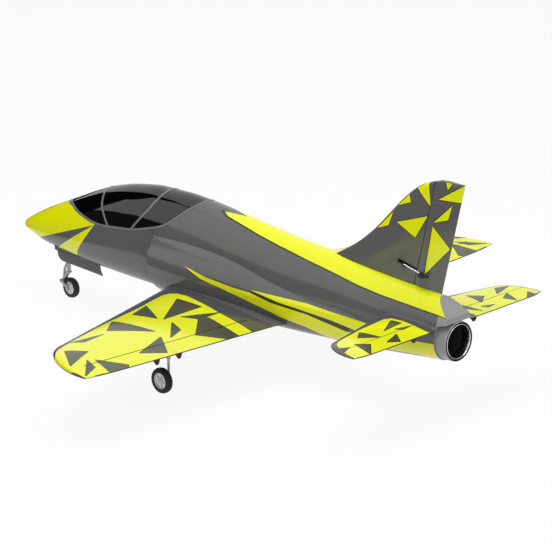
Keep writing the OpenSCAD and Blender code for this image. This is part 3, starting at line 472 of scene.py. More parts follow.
def carve(piece: Thing, how: Cut, *shapes: Shape, finish: Finish | None = None) -> None:
    """Cuts, joins or keeps parts of a piece.

    Args:
        piece: The piece that changes.
        how: What the shapes do to it.
        shapes: Closed shapes, used one after the other.
        finish: Finish of the new faces; the piece's first one if none is given.
    """
    for shape in shapes:
        tool = shape.thing("carving_tool", [finish] if finish else [])
        if not finish:
            tool.data.materials.append(piece.data.materials[0])
        step = piece.modifiers.new("carve", "BOOLEAN")
        step.operation = how.value
        step.solver = "MANIFOLD"
        step.object = tool
        if hasattr(step, "material_mode"):
            step.material_mode = "TRANSFER"
        bake(piece)
        bpy.data.objects.remove(tool)


def bake(piece: Thing) -> None:
    """Turns the result of a piece's modifiers into its plain mesh."""
    graph = bpy.context.evaluated_depsgraph_get()
    fresh = bpy.data.meshes.new_from_object(piece.evaluated_get(graph), depsgraph=graph)
    old = piece.data
    piece.modifiers.clear()
    piece.data = fresh
    bpy.data.meshes.remove(old)


@dataclass(frozen=True)
class Patch:
    """A masked area of paint.

    Attributes:
        outline: Corners of the mask in station millimetres.
        finish: The paint.
        view: The plane that the mask lies in.
        where: Test on a face's middle and normal, for masks that belong to one side only.
    """

    outline: tuple[Flat, ...]
    finish: Finish
    view: View = View.SIDE
    where: Callable[[Vector, Vector], bool] = lambda middle, normal: True

    def corner(self, p: Flat) -> Flat:
        """Returns one corner in metres in the shared frame."""
        spot = row((p[0], p[1], 0) if self.view is View.TOP else (p[0], 0, p[1]))
        return (spot[self.view.value[0]], spot[self.view.value[1]])

    def inside(self, p: Flat, corners: Sequence[Flat]) -> bool:
        """Tells whether a point lies inside the mask."""
        hit = False
        for a, b in zip(corners, (*corners[1:], corners[0])):
            if (a[1] > p[1]) != (b[1] > p[1]):
                hit ^= p[0] < a[0] + (p[1] - a[1]) / (b[1] - a[1]) * (b[0] - a[0])
        return hit


def paint(piece: Thing, patches: Sequence[Patch], skip: Sequence[Finish] = ()) -> None:
    """Cuts the mask lines into a piece and colours what lies inside, so that edges are crisp.

    Args:
        piece: The piece to paint.
        patches: Masks, each one over those before it.
        skip: Finishes that no paint reaches, such as bare inner walls.
    """
    slots = [m.name for m in piece.data.materials]
    kept = {slots.index(f.name) for f in skip if f.name in slots}
    work = bmesh.new()
    work.from_mesh(piece.data)
    for patch in patches:
        if patch.finish.name not in slots:
            slots.append(patch.finish.name)
            piece.data.materials.append(patch.finish.material())
        corners = [patch.corner(p) for p in patch.outline]
        u, v = patch.view.value
        for a, b in zip(corners, (*corners[1:], corners[0])):
            low = (min(a[0], b[0]), min(a[1], b[1]))
            high = (max(a[0], b[0]), max(a[1], b[1]))
            near = []
            for face in work.faces:
                if face.material_index in kept or not patch.where(face.calc_center_median(), face.normal):
                    continue
                us = [w.co[u] for w in face.verts]
                vs = [w.co[v] for w in face.verts]
                if max(us) >= low[0] and min(us) <= high[0] and max(vs) >= low[1] and min(vs) <= high[1]:
                    near.append(face)
            normal = Vector((0, 0, 0))
            normal[u], normal[v] = b[1] - a[1], a[0] - b[0]
            spot = Vector((0, 0, 0))
            spot[u], spot[v] = a
            if near and normal.length > 0:
                edges = {e for f in near for e in f.edges}
                verts = {w for f in near for w in f.verts}
                bmesh.ops.bisect_plane(work, geom=[*near, *edges, *verts], dist=2e-6, plane_co=spot,
                                       plane_no=normal)
        slot = slots.index(patch.finish.name)
        for face in work.faces:
            middle = face.calc_center_median()
            if face.material_index not in kept and patch.where(middle, face.normal):
                if patch.inside((middle[u], middle[v]), corners):
                    face.material_index = slot
    work.to_mesh(piece.data)
    work.free()
    tidy(piece)


def stroke(line: Sequence[Flat], width: float) -> list[tuple[Flat, ...]]:
    """Returns the masks of a thin lining along a line, one for each stretch."""
    masks = []
    for a, b in zip(line, line[1:]):
        run = Vector((b[0] - a[0], b[1] - a[1]))
        off = Vector((-run.y, run.x)).normalized() * width / 2
        masks.append(((a[0] + off.x, a[1] + off.y), (b[0] + off.x, b[1] + off.y),
                      (b[0] - off.x, b[1] - off.y), (a[0] - off.x, a[1] - off.y)))
    return masks


def grown(outline: Sequence[Flat], width: float) -> tuple[Flat, ...]:
    """Returns an outline that lies a width outside a convex one, with blunt corners."""
    after = [*outline[1:], outline[0]]
    way = math.copysign(width, sum(a[0] * b[1] - b[0] * a[1] for a, b in zip(outline, after)))
    out = []
    for p, q, r in zip([outline[-1], *outline[:-1]], outline, after):
        for e in (Vector(q) - Vector(p), Vector(r) - Vector(q)):
            side = Vector((e.y, -e.x)).normalized() * way
            out.append((q[0] + side.x, q[1] + side.y))
    return tuple(out)


@dataclass(frozen=True)
class Copies:
    """A node tree that sets copies of a shape round a line.

    Attributes:
        count: How many copies.
        start: A point on the line, in station millimetres.
        axis: Direction of the line.
    """

    count: int
    start: Point
    axis: Point

    def spread(self, piece: Thing) -> Thing:
        """Turns a piece into its copies, as one plain mesh.

        Args:
            piece: One copy, in its place.

        Returns:
            The same piece with all its copies.
        """
        tree = bpy.data.node_groups.new("copies_round_a_line", "GeometryNodeTree")
        tree.interface.new_socket("Geometry", in_out="OUTPUT", socket_type="NodeSocketGeometry")
        kinds = (("Geometry", "Geometry"), ("Count", "Int"), ("Centre", "Vector"), ("Line", "Vector"),
                 ("Material", "Material"))
        sockets = {name: tree.interface.new_socket(name, in_out="INPUT", socket_type="NodeSocket" + kind)
                   for name, kind in kinds}
        given = add_node(tree, "NodeGroupInput").outputs
        away = add_node(tree, "ShaderNodeVectorMath", {"operation": "SCALE"},
                        {0: given["Centre"], "Scale": -1.0})
        home = add_node(tree, "GeometryNodeTransform", None,
                        {"Geometry": given["Geometry"], "Translation": away.outputs["Vector"]})
        dots = add_node(tree, "GeometryNodePoints", None,
                        {"Count": given["Count"], "Position": given["Centre"]})
        order = add_node(tree, "GeometryNodeInputIndex").outputs["Index"]
        angle = maths(tree, "MULTIPLY", maths(tree, "DIVIDE", order, given["Count"]), 2 * math.pi)
        turn = add_node(tree, "FunctionNodeAxisAngleToRotation", None,
                        {"Axis": given["Line"], "Angle": angle})
        ring = add_node(tree, "GeometryNodeInstanceOnPoints", None,
                        {"Points": dots.outputs["Points"], "Instance": home.outputs["Geometry"],
                         "Rotation": turn.outputs["Rotation"]})
        real = add_node(tree, "GeometryNodeRealizeInstances", None, {"Geometry": ring.outputs["Instances"]})
        dressed = add_node(tree, "GeometryNodeSetMaterial", None,
                           {"Geometry": real.outputs["Geometry"], "Material": given["Material"]})
        add_node(tree, "NodeGroupOutput", None, {"Geometry": dressed.outputs["Geometry"]})
        step = piece.modifiers.new("copies", "NODES")
        step.node_group = tree
        values = {"Count": self.count, "Centre": tuple(row(self.start)), "Line": self.axis,
                  "Material": piece.data.materials[0]}
        for name, value in values.items():
            step[sockets[name].identifier] = value
        bake(piece)
        return piece


def join(piece: Thing, *others: Thing) -> Thing:
    """Puts the meshes of other pieces into the first one.

    Args:
        piece: The piece that stays.
        others: Pieces that end up in it.

    Returns:
        The first piece.
    """
    work = bmesh.new()
    names = [m.name for m in piece.data.materials]
    work.from_mesh(piece.data)
    for other in others:
        first = len(work.faces)
        work.from_mesh(other.data)
        work.faces.ensure_lookup_table()
        for face in work.faces[first:]:
            stuff = other.data.materials[face.material_index]
            if stuff.name not in names:
                names.append(stuff.name)
                piece.data.materials.append(stuff)
            face.material_index = names.index(stuff.name)
        bpy.data.objects.remove(other)
    work.to_mesh(piece.data)
    work.free()
    return piece


def solid_copy(node: str, finish: Finish) -> Thing:
    """Copies a CAD solid as a welded piece that can be carved.

    Args:
        node: Name of the CAD node.
        finish: Its finish.

    Returns:
        The copy, at the origin.
    """
    solid = bpy.data.objects[node]
    mesh = solid.data.copy()
    mesh.transform(solid.matrix_world)
    mesh.materials.clear()
    mesh.materials.append(finish.material())
    weld = bmesh.new()
    weld.from_mesh(mesh)
    bmesh.ops.remove_doubles(weld, verts=weld.verts, dist=1e-6)
    weld.to_mesh(mesh)
    weld.free()
    piece = bpy.data.objects.new(node + "_dressed", mesh)
    bpy.context.scene.collection.objects.link(piece)
    return piece


def settle(piece: Thing, body: str, slot: str, *nodes: str) -> None:
    """Parents a finished piece to the empty of its body and hides the CAD nodes that it stands for.

    Args:
        piece: The finished piece.
        body: The body that it moves with.
        slot: Not used.
        nodes: The CAD nodes that it stands for.
    """
    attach(piece, body)
    if nodes:
        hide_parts(*nodes)
    LOG.info("%s: %d faces on %s", piece.name, len(piece.data.polygons), body)


@dataclass(frozen=True)
class BodyLines:
    """The lines that the fuselage, the intake cheeks and the canopy are lofted through."""

    spine: Batten = Batten(((0, -12), (14, -1), (41, 14), (88, 37), (144, 60), (190, 79.5), (236, 98.5),
                            (296, 119), (356, 132), (427, 139.5), (485, 139.5), (544, 136), (606, 129),
                            (685, 119), (788, 107), (879, 100), (1143, 74)))
    belly: Batten = Batten(((0, -18), (14, -23), (41, -30), (88, -40), (144, -45), (236, -51), (356, -54),
                            (427, -55), (544, -58), (685, -62), (788, -61), (879, -57), (1010, -50),
                            (1143, -38)))
    width: Batten = Batten(((0, 3), (14, 14), (41, 24), (88, 35), (144, 44), (236, 54), (356, 60), (427, 61),
                            (544, 61), (685, 60), (788, 57), (879, 54), (980, 51), (1060, 44.5), (1143, 38)))
    middle: Batten = Batten(((0, -15), (88, -6), (144, 0), (236, 8), (356, 18), (485, 24), (685, 18),
                             (879, 6), (1010, 2), (1143, 0)))
    square: Batten = Batten(((0, 2), (144, 2.3), (427, 2.8), (685, 3), (879, 2.5), (1143, 2)))
    cheek: Batten = Batten(((455, 25), (500, 27), (544, 28), (606, 27), (685, 23), (788, 15), (879, 8),
                            (980, 2), (1060, 0)))
    core: Batten = Batten(((427, 61), (470, 58), (520, 54), (580, 42), (640, 24), (690, 8)))
    shoulder: Batten = Batten(((455, 60), (540, 62), (600, 60), (662, 54), (708, 46), (750, 37), (788, 30),
                               (860, 20), (1060, 10)))
    cheek_top: float = 56.0
    cheek_low: float = -54.0
    tip_x: float = 14.0
    tip_z: float = -15.0
    tip_bluntness: float = 0.55
    parts: tuple[int, int, int] = (16, 36, 10)

    def read(self, line: Batten, x: float, tip: float) -> float:
        """Reads a line, rounded off to a point at the nose tip.

        Args:
            line: One of the body's lines.
            x: Station.
            tip: Value at the very tip.

        Returns:
            The value at that station.
        """
        if x >= self.tip_x:
            return line.at(x)
        return mix(tip, line.at(self.tip_x), (max(x, 0.0) / self.tip_x) ** self.tip_bluntness)

    def bump(self, z: float, top: float, base: float) -> float:
        """Returns how far the cheek stands out at a height, from 0 to 1."""
        if z <= 0:
            return math.sqrt(max(0.0, 1 - (z / base) ** 3))
        d = min(1.0, z / top)
        return (1 - d ** 1.6) * (1 + 0.6 * d) if d < 1 else 0.0

    def ring(self, x: float, half_w: float, inset: float = 0.0, cheek: float = 0.0,
             rake: float = 0.0) -> Ring:
        """Draws one cross-section, with a fixed number of points above, on and below the cheek.

        Args:
            x: Station.
            half_w: Half the width.
            inset: How far under the skin the section lies.
            cheek: How far the intake cheek stands out.
            rake: How far the section leans back for each millimetre under the cheek's top.

        Returns:
            The points round the section.
        """
        high = self.read(self.spine, x, self.tip_z) - inset
        low = self.read(self.belly, x, self.tip_z) + inset
        mid = self.read(self.middle, x, self.tip_z)
        power = self.square.at(x)
        top = self.shoulder.at(x) - inset
        base = self.cheek_low + inset
        upper = math.asin(min(1.0, max(0.0, (top - mid) / (high - mid)))) if cheek else math.radians(45)
        drop = min(1.0, max(0.0, (mid - base) / (mid - low))) ** (power / 2)
        lower = -math.asin(drop) if cheek else -math.radians(55)
        marks = (math.pi / 2, upper, lower, -math.pi / 2)
        angles = [mix(marks[i], marks[i + 1], k / n) for i, n in enumerate(self.parts) for k in range(n)]
        half = []
        for a in (*angles, -math.pi / 2):
            p = power if a < 0 else 2
            rise = abs(math.sin(a)) ** (2 / p)
            z = mid - (mid - low) * rise if a < 0 else mid + (high - mid) * rise
            bulge = cheek * self.bump(z, top, base) if cheek else 0.0
            y = half_w * max(0.0, math.cos(a)) ** (2 / p) + bulge
            half.append((x + rake * (self.cheek_top - z), 0.0 if abs(a) > math.pi / 2 - 1e-6 else y, z))
        return half + [(q[0], -q[1], q[2]) for q in half[-2:0:-1]]

    def shell(self, xs: Sequence[float], inset: float = 0.0) -> Shape:
        """Lofts the plain body through some stations, without cheeks."""
        return loft([self.ring(x, max(0.05, self.read(self.width, x, 0) - inset), inset) for x in xs])


LINES = BodyLines()


@dataclass(frozen=True)
class Sill:
    """The seam between canopy and fuselage in side view."""

    edge: tuple[Flat, ...] = ((152, 62), (185, 61), (210, 56), (236, 51.5), (263, 47.5), (290, 46),
                              (320, 48), (348, 51), (386, 55.5), (430, 65.5), (477, 80), (528, 117),
                              (552, 134.5))
    half_w: float = 92.0
    over: float = 279.0

    def line(self, gap: float = 0.0, count: int = 60) -> list[Flat]:
        """Returns the smooth seam, moved in by a gap."""
        seam = Batten(self.edge)
        first, last = self.edge[0][0] + gap, self.edge[-1][0] - gap
        return [(x, seam.at(x) + gap) for x in steps(first, last, count)]

    def above(self, gap: float) -> Shape:
        """Returns the block of everything above the seam."""
        line = self.line(gap)
        return prism([*line, (line[-1][0], self.over), (line[0][0], self.over)], -self.half_w, self.half_w)


SILL = Sill()


class Airfoil:
    """The symmetric section that the wing, the tailplane and the fin share."""

    edge_half = 0.6
    count = 26

    @staticmethod
    def half(u: float, thick: float) -> float:
        """Returns half the thickness at a share u of the chord."""
        core = 0.2969 * math.sqrt(u) - 0.126 * u - 0.3516 * u ** 2 + 0.2843 * u ** 3 - 0.1036 * u ** 4
        return 5 * core * thick + Airfoil.edge_half * u

    @staticmethod
    def shares() -> list[float]:
        """Returns shares of the chord, close together at both ends."""
        return [(1 - math.cos(math.pi * k / Airfoil.count)) / 2 for k in range(1, Airfoil.count + 1)]

    @staticmethod
    def ring(y: float, le: float, te: float, thick: float) -> Ring:
        """Draws one section across the span.

        Args:
            y: Place along the span.
            le: Leading edge.
            te: Trailing edge.
            thick: Greatest thickness.

        Returns:
            The points round the section.
        """
        us = Airfoil.shares()
        top = [(mix(le, te, u), y, Airfoil.half(u, thick)) for u in us]
        low = [(mix(le, te, u), y, -Airfoil.half(u, thick)) for u in reversed(us)]
        return [(le, y, 0.0), *top, *low]


@dataclass(frozen=True)
class Planform:
    """A tapered panel with an elliptic tip, in its own flat frame."""

    root_y: float
    tip_y: float
    end_y: float
    le_x: float
    le_slope: float
    tip_sweep: float
    te_x: float
    thick: Flat
    height: float
    tilt: float
    tip_trim: float = 7.0
    last: float = 0.9985

    def tip(self, y: float) -> float:
        """Returns how far along the rounded tip a place lies."""
        return max(0.0, (y - self.tip_y) / (self.end_y - self.tip_y))

    def edge(self, y: float) -> float:
        """Returns the leading edge at a place along the span."""
        return self.le_x + self.le_slope * y + self.tip_sweep * (1 - math.sqrt(1 - self.tip(y) ** 2))

    def ring(self, y: float) -> Ring:
        """Returns the section at a place along the span."""
        s = self.tip(y)
        taper = min(1.0, (y - self.root_y) / (self.tip_y - self.root_y))
        thick = mix(self.thick[0], self.thick[1], taper) * math.sqrt(1 - s * s)
        return Airfoil.ring(y, self.edge(y), self.te_x - self.tip_trim * s * s, thick)

    def panel(self) -> Shape:
        """Lofts the whole panel."""
        inner = steps(self.root_y, self.tip_y, 40)
        turn = steps(0.0, math.pi / 2, 22)[1:]
        outer = [mix(self.tip_y, self.end_y, self.last * math.sin(a)) for a in turn]
        return loft([self.ring(y) for y in (*inner, *outer)])

    def place(self, p: Point) -> Point:
        """Takes a point of the panel's own frame to its station."""
        c, s = math.cos(self.tilt), math.sin(self.tilt)
        return (p[0], p[1] * c - p[2] * s, self.height + p[1] * s + p[2] * c)

    def seat(self, shape: Shape, side: Side) -> Shape:
        """Takes a shape of the panel's own frame to its station, on one side of the model."""
        return shape.moved(self.place).mirrored(side)


WING = Planform(92, 455, 531, 478, 0.361, 132, 808, (36, 20), -36, math.atan(0.036))
STAB = Planform(48, 210, 247, 1030 - 0.24 * 48, 0.24, 60, 1155, (12, 8), 28, 0.0)


def round_lip(start: float, radius: float, count: int = 5) -> list[Flat]:
    """Returns stations and insets that round off an intake lip of a given radius."""
    turn = [math.pi / 2 * (1 - k / count) for k in range(count + 1)]
    return [(start + radius * (1 - math.sin(t)), radius * (1 - math.cos(t))) for t in turn]


@dataclass(frozen=True)
class Fuselage:
    """The painted foam body with its intakes, bays and tail, and the hatch under the fan.

    Attributes:
        wall: Thickness of the foam skin.
        lip_x: Front of the intake lip at the top of the cheek.
        lip_rake: Lean of the lip.
        lip_blend: Where that lean has run out.
        tail_x: Rear end of the foam.
        fairing_x: Rear end of the fairing over the nozzle.
        nozzle_r: Hole for the nozzle.
        tail_solid_x: Where the skin thickens to hold the thrust tube.
        bore_r: Hole for the thrust tube.
        bay: Front and rear end of the battery bay.
        gear_bay: Opening for the nose gear, as front, rear and half width.
        hatch: Hatch, as front, rear and half width.
        core_inset: How far the core lies under the skin.
        core_end: Rear end of the core between the ducts.
        nose_end: Rear end of the nose.
    """

    wall: float = 5.0
    lip_x: float = 455.0
    lip_rake: float = 0.2
    lip_blend: float = 500.0
    tail_x: float = 1143.0
    fairing_x: float = 1163.0
    nozzle_r: float = 36.2
    tail_solid_x: float = 1112.0
    bore_r: float = 32.1
    bay: Flat = (96.0, 560.0)
    gear_bay: Point = (116.0, 266.0, 26.0)
    hatch: Point = (692.0, 846.0, 40.0)
    core_inset: float = 0.6
    core_end: float = 690.0
    nose_end: float = 427.0

    def cowl_ring(self, x: float, inset: float) -> Ring:
        """Returns a section of the cowl, leaning back near the lip."""
        lean = max(0.0, 1 - (x - self.lip_x) / (self.lip_blend - self.lip_x))
        lean = self.lip_rake * min(1.0, lean)
        half_w = LINES.width.at(x) - inset
        return LINES.ring(x, half_w, inset, max(0.02, LINES.cheek.at(x)), lean)

    def cowl(self, inner: bool) -> Shape:
        """Lofts the cowl's outside, or its hollow."""
        nose = self.wall / 2 - 0.1
        lip = round_lip(self.lip_x, nose)
        if inner:
            rings = [self.cowl_ring(self.lip_x - 3, self.wall / 2 + 0.1)]
            rings += [self.cowl_ring(x, self.wall - inset) for x, inset in lip]
            end = self.tail_solid_x
        else:
            rings = [self.cowl_ring(x, inset) for x, inset in lip]
            end = self.fairing_x + 3
        inset = self.wall if inner else 0.0
        rings += [self.cowl_ring(x, inset) for x in steps(self.lip_x + 8, end, 84)]
        return loft(rings)

    def core_half(self, x: float) -> float:
        """Returns half the width of the nose or of the core between the ducts."""
        return LINES.read(LINES.width, x, 0) if x < self.nose_end else LINES.core.at(x)

    def nose(self) -> Shape:
        """Lofts the nose and the core that splits the two ducts."""
        tip = [14 * (k / 12) ** 2 for k in range(1, 12)]
        xs = [0.02, *tip, *steps(14, self.nose_end, 66)]
        rings = [LINES.ring(x, max(0.05, self.core_half(x))) for x in xs]
        for x in steps(self.nose_end, self.core_end, 30)[1:]:
            sink = self.core_inset * min(1.0, (x - self.nose_end) / 40)
            rings.append(LINES.ring(x, self.core_half(x), sink))
        return loft(rings)

    def bay_hollow(self) -> Shape:
        """Lofts the battery bay inside the nose."""
        rings = []
        for x in steps(self.bay[0], self.bay[1], 60):
            rings.append(LINES.ring(x, self.core_half(x) - self.wall, self.wall))
        return loft(rings)

    def wing_root(self) -> Shape:
        """Lofts the fillet that carries one wing, drawn to starboard."""
        swell = Batten(((-0.3, 0), (0, 0), (0.38, 9), (1, 26)))
        fore = Batten(((-0.3, 0), (0, 0), (0.38, 12), (1, 24)))
        aft = Batten(((-0.3, 0), (0, 0), (0.38, 3), (1, 8)))
        low, high = 40.0, WING.root_y - SEAT
        rings = []
        for y in steps(low, high, 16):
            s = (high - y) / (high - low)
            ends = (WING.edge(WING.root_y) - fore.at(s), WING.te_x + aft.at(s))
            rings.append(Airfoil.ring(y, *ends, WING.thick[0] + swell.at(s)))
        return loft(rings).moved(WING.place)

    def tail_root(self) -> Shape:
        """Lofts the fillet that carries one half of the tailplane, drawn to starboard."""
        low, high = 30.0, STAB.root_y - SEAT
        rings = []
        for y in steps(low, high, 10):
            s = ((high - y) / (high - low)) ** 1.6
            ends = (STAB.edge(STAB.root_y) - 16 * s, STAB.te_x)
            rings.append(Airfoil.ring(y, *ends, STAB.thick[0] + 10 * s))
        return loft(rings).moved(STAB.place)

    def hatch_block(self, gap: float) -> Shape:
        """Returns the block that the hatch is cut with."""
        x0, x1, half = self.hatch
        return block((x0 + gap, -half + gap, -AXIS_HEIGHT), (x1 - gap, half - gap, -34))

    def tail_cut(self) -> Shape:
        """Returns what is cut off behind the tail, under the fairing that runs out over the nozzle."""
        x, back, end, over = 1127, self.tail_x, 1200, 279
        fairing = [(x, LINES.spine.at(x) + 1), (self.fairing_x, 46), (1165.5, 36), (back, 30)]
        return prism([*fairing, (back, -99), (end, -99), (end, over), (x, over)], -60, 60)

    def build(self) -> None:
        """Makes the body and the hatch, paints them and hands them over."""
        body = self.cowl(False).thing("fuselage_skin", [GREY_PAINT])
        for side in Side:
            carve(body, Cut.JOIN, self.wing_root().mirrored(side), self.tail_root().mirrored(side))
        carve(body, Cut.AWAY, self.cowl(True), finish=RAW_FOAM)
        hatch = self.cowl(False).thing("fan_hatch_skin", [GREY_PAINT])
        carve(hatch, Cut.AWAY, self.cowl(True), finish=RAW_FOAM)
        carve(hatch, Cut.KEEP, self.hatch_block(PANEL_GAP))
        carve(body, Cut.JOIN, self.nose())
        x0, x1, half = self.gear_bay
        gear = block((x0, -half, -AXIS_HEIGHT), (x1, half, -self.wall))
        hollows = (self.bay_hollow(), SILL.above(0.0), gear, self.hatch_block(0.0))
        carve(body, Cut.AWAY, *hollows, finish=RAW_FOAM)
        carve(body, Cut.AWAY, self.tail_cut(), finish=NOZZLE_PAINT)
        start, end = 1100.0, 1200.0
        step = self.tail_x - start
        wide = self.nozzle_r
        bore = [(0, self.bore_r), (step, self.bore_r), (step + 0.1, wide), (end - start, wide)]
        carve(body, Cut.AWAY, turned((start, 0, 0), (end, 0, 0), bore, 96), finish=RAW_FOAM)
        # Slots that take the nose doors, under rails that carry their hinges
        slot = block((133.5, 25, -AXIS_HEIGHT), (266.5, 32.5, -39.5))
        rail = block((128, 26.5, -39.5), (272, 33.4, -29.5))
        for side in Side:
            carve(body, Cut.AWAY, slot.mirrored(side), finish=RAW_FOAM)
            carve(body, Cut.JOIN, rail.mirrored(side), finish=DARK_PAINT)
        ply = solid_copy("fan_former", BIRCH_PLY)
        carve(ply, Cut.KEEP, self.cowl(True), finish=BIRCH_PLY)
        tidy(ply)
        settle(ply, "airframe", "birch_ply", "fan_former")
        self.dress(body)
        settle(body, "airframe", "grey_foam", "nose_shell", "fuselage_shell", "tail_shell")
        tidy(hatch)
        settle(hatch, "airframe", "grey_foam", "fan_hatch")

    def dress(self, body: Thing) -> None:
        """Paints the nose, the stripes and the spine band."""
        nose = ((-9, -70), (56, -70), (73, -26), (277, 45), (277, 70), (-9, 70))
        wedge = ((140, -33), (277, 45), (206, -34))
        upper = ((569, 30), (629, 20), (694, 14), (736, 12), (782, 2), (862, -4), (918, -13), (952, -19))
        lower = ((1147, -33), (1088, -34), (1036, -37), (902, -45), (856, -31), (802, -22), (780, -16),
                 (724, -4), (662, 8), (614, 15))
        stripe = (*upper, (1000, -14), (1080, -5), (1147, -1), *lower)
        under = ((776, 10), (804, 6), (862, 1), (920, -4), (962, -10))
        thin = ((736, 17), (797, 16), (860, 15), (920, 11), (1000, 7), (985, -14), *reversed(under))
        gap = ((736, 15), *under, *reversed(upper[3:]))
        edge = ((598, 128), (620, 121), (664, 113), (707, 105), (766, 95), (833, 85), (898, 76), (962, 66),
                (1020, 59), (1078, 54), (1160, 47), (1180, 45))
        band = (*edge, (1180, 160), (598, 160))
        notch = ((560, -16), (600, -14), (652, 0), (600, 14), (560, 16))
        rim = ((1144, 28), (1170, 28), (1170, 45.5), (1162, 46.6), (1144, 48))
        patches = [Patch(m, YELLOW_PAINT) for m in (nose, wedge, band)]
        patches += [Patch(notch, GREY_PAINT, View.TOP, lambda m, n: n.z > 0.3)]
        patches += [Patch(m, LINE_PAINT) for m in stroke(edge, 2.2)]
        patches += [Patch(stripe, YELLOW_PAINT), Patch(gap, LINE_PAINT), Patch(thin, YELLOW_PAINT)]
        patches += [Patch(rim, NOZZLE_PAINT)]
        paint(body, patches, skip=[RAW_FOAM, NOZZLE_PAINT])


@dataclass(frozen=True)
class Canopy:
    """The tinted lift-up canopy with its painted frame.

    Attributes:
        wall: Thickness of the sheet.
        proud: How far the frame stands out of it.
        frame_w: Width of the frame.
        bows: Two bows across the panes, in side view.
        front: First station of its surface.
        rear: Last station.
    """

    wall: float = 3.0
    proud: float = 0.5
    frame_w: float = 6.0
    bows: tuple[tuple[Flat, ...], ...] = (((326, 46), (307, 65), (289, 84), (275, 107), (262, 130)),
                                          ((374, 42), (402, 74), (429, 105), (443, 128), (457, 152)))
    front: float = 140.0
    rear: float = 606.0

    def skin(self, inset: float) -> Shape:
        """Lofts the canopy's surface at a depth."""
        return LINES.shell(steps(self.front, self.rear, 94), inset)

    def build(self) -> None:
        """Makes the panes and the frame and hands them over."""
        panes = self.skin(0.0).thing("canopy_glazing", [CANOPY_TINT])
        carve(panes, Cut.AWAY, self.skin(self.wall))
        carve(panes, Cut.KEEP, SILL.above(PANEL_GAP))
        bars = self.skin(-self.proud).thing("canopy_frame_bars", [CANOPY_FRAME])
        carve(bars, Cut.AWAY, self.skin(self.proud))
        carve(bars, Cut.KEEP, SILL.above(PANEL_GAP))
        low = SILL.line(-1)
        high = [(x, z + self.frame_w) for x, z in SILL.line(-1)]
        zone = prism([*low, *reversed(high)], -80, 80).thing("frame_zone", [CANOPY_FRAME])
        half = self.frame_w / 2
        for k, bow in enumerate(self.bows):
            strip = [(x - half, z) for x, z in bow] + [(x + half, z) for x, z in reversed(bow)]
            carve(zone, Cut.JOIN, prism(strip, -81 - k, 81 + k))
        step = bars.modifiers.new("keep_zone", "BOOLEAN")
        step.operation, step.solver, step.object = "INTERSECT", "MANIFOLD", zone
        bake(bars)
        bpy.data.objects.remove(zone)
        for piece, node in ((panes, "canopy_panes"), (bars, "canopy_frame")):
            tidy(piece)
            settle(piece, "canopy", "canopy_tint" if piece is panes else "frame_grey", node)


Outline = tuple[Flat, ...]


@dataclass(frozen=True)
class Link:
    """A servo's pocket and the horn that it moves, in a frame with x aft, y along the hinge and z up.

    Attributes:
        axis: Servo axis from the hinge line, in x and z.
        reach: From the servo axis to the arm's hole, and from the hinge line to the horn's.
        place: Takes a point of that frame to its station.
        slot_end: Rear end of the arm's slot, from the servo axis.
        groove_end: Rear end of the pushrod's groove, where the servo lies under the skin.
        case: Length, height and width of the servo.
        axis_in: From the servo's rear end to its axis.
        arm_t: Thickness of arm and horn.
        rod_side: From the middle of the arm to the pushrod.
        rod_room: Half the width of the pushrod's groove.
        play: Room beside the arm.
        deep: Reach of a cut that comes out of the skin.
    """

    axis: Flat
    reach: Flat
    place: Callable[[Point], Point]
    slot_end: float = 23.0
    groove_end: float = 0.0
    case: Point = (23.0, 20.0, 9.0)
    axis_in: float = 6.0
    arm_t: float = 2.0
    rod_side: float = 3.0
    rod_room: float = 1.8
    play: float = 1.5
    deep: float = 40.0

    def pocket(self) -> list[Shape]:
        """Returns the servo's pocket, the slot of its arm and the groove of a sunk pushrod."""
        x, z = self.axis
        long, high, wide = self.case
        front = x + self.axis_in - long - SEAT
        side = self.arm_t / 2 + self.play
        near = side - SEAT
        low = z - wide / 2 - SEAT if self.groove_end else -self.deep
        far = (front + long + 2 * SEAT, near + high + 2 * SEAT, z + wide / 2 + SEAT)
        cuts = [block((front, near, low), far)]
        cuts.append(block((x - 9, -self.rod_side - 2, -self.deep), (x + self.slot_end, side, z + 4.5)))
        if self.groove_end:
            one, two = (k * self.rod_room - self.rod_side for k in (-1, 1))
            cuts.append(block((x, one, -self.deep), (x + self.groove_end, two, z + 2)))
        return [s.moved(self.place) for s in cuts]

    def horn(self) -> Shape:
        """Draws the horn that the surface carries, with its base plate and a raised rim round its hole."""
        x, z = self.reach
        half = self.arm_t / 2
        arc = [(x + 2.2 * math.cos(a), z + 2.2 * math.sin(a)) for a in steps(-math.pi, 0, 10)]
        heel = ((3, -4), (5, -6), (8, -6.6), (10, -5.6), (13, -1))
        heel = [(x + a, z + b) for a, b in heel]
        plate = prism([*arc[:7], *heel, (x + 16, -1), (x - 5, -1), (x - 2.9, z + 5)], -half, half)
        rim = [(0, 1.5), (0.3, 1.7), (2.5, 1.7), (2.8, 1.5)]
        eye = turned((x, -half - 0.4, z), (x, half + 0.4, z), rim, 24)
        return plate.add(eye).moved(self.place)


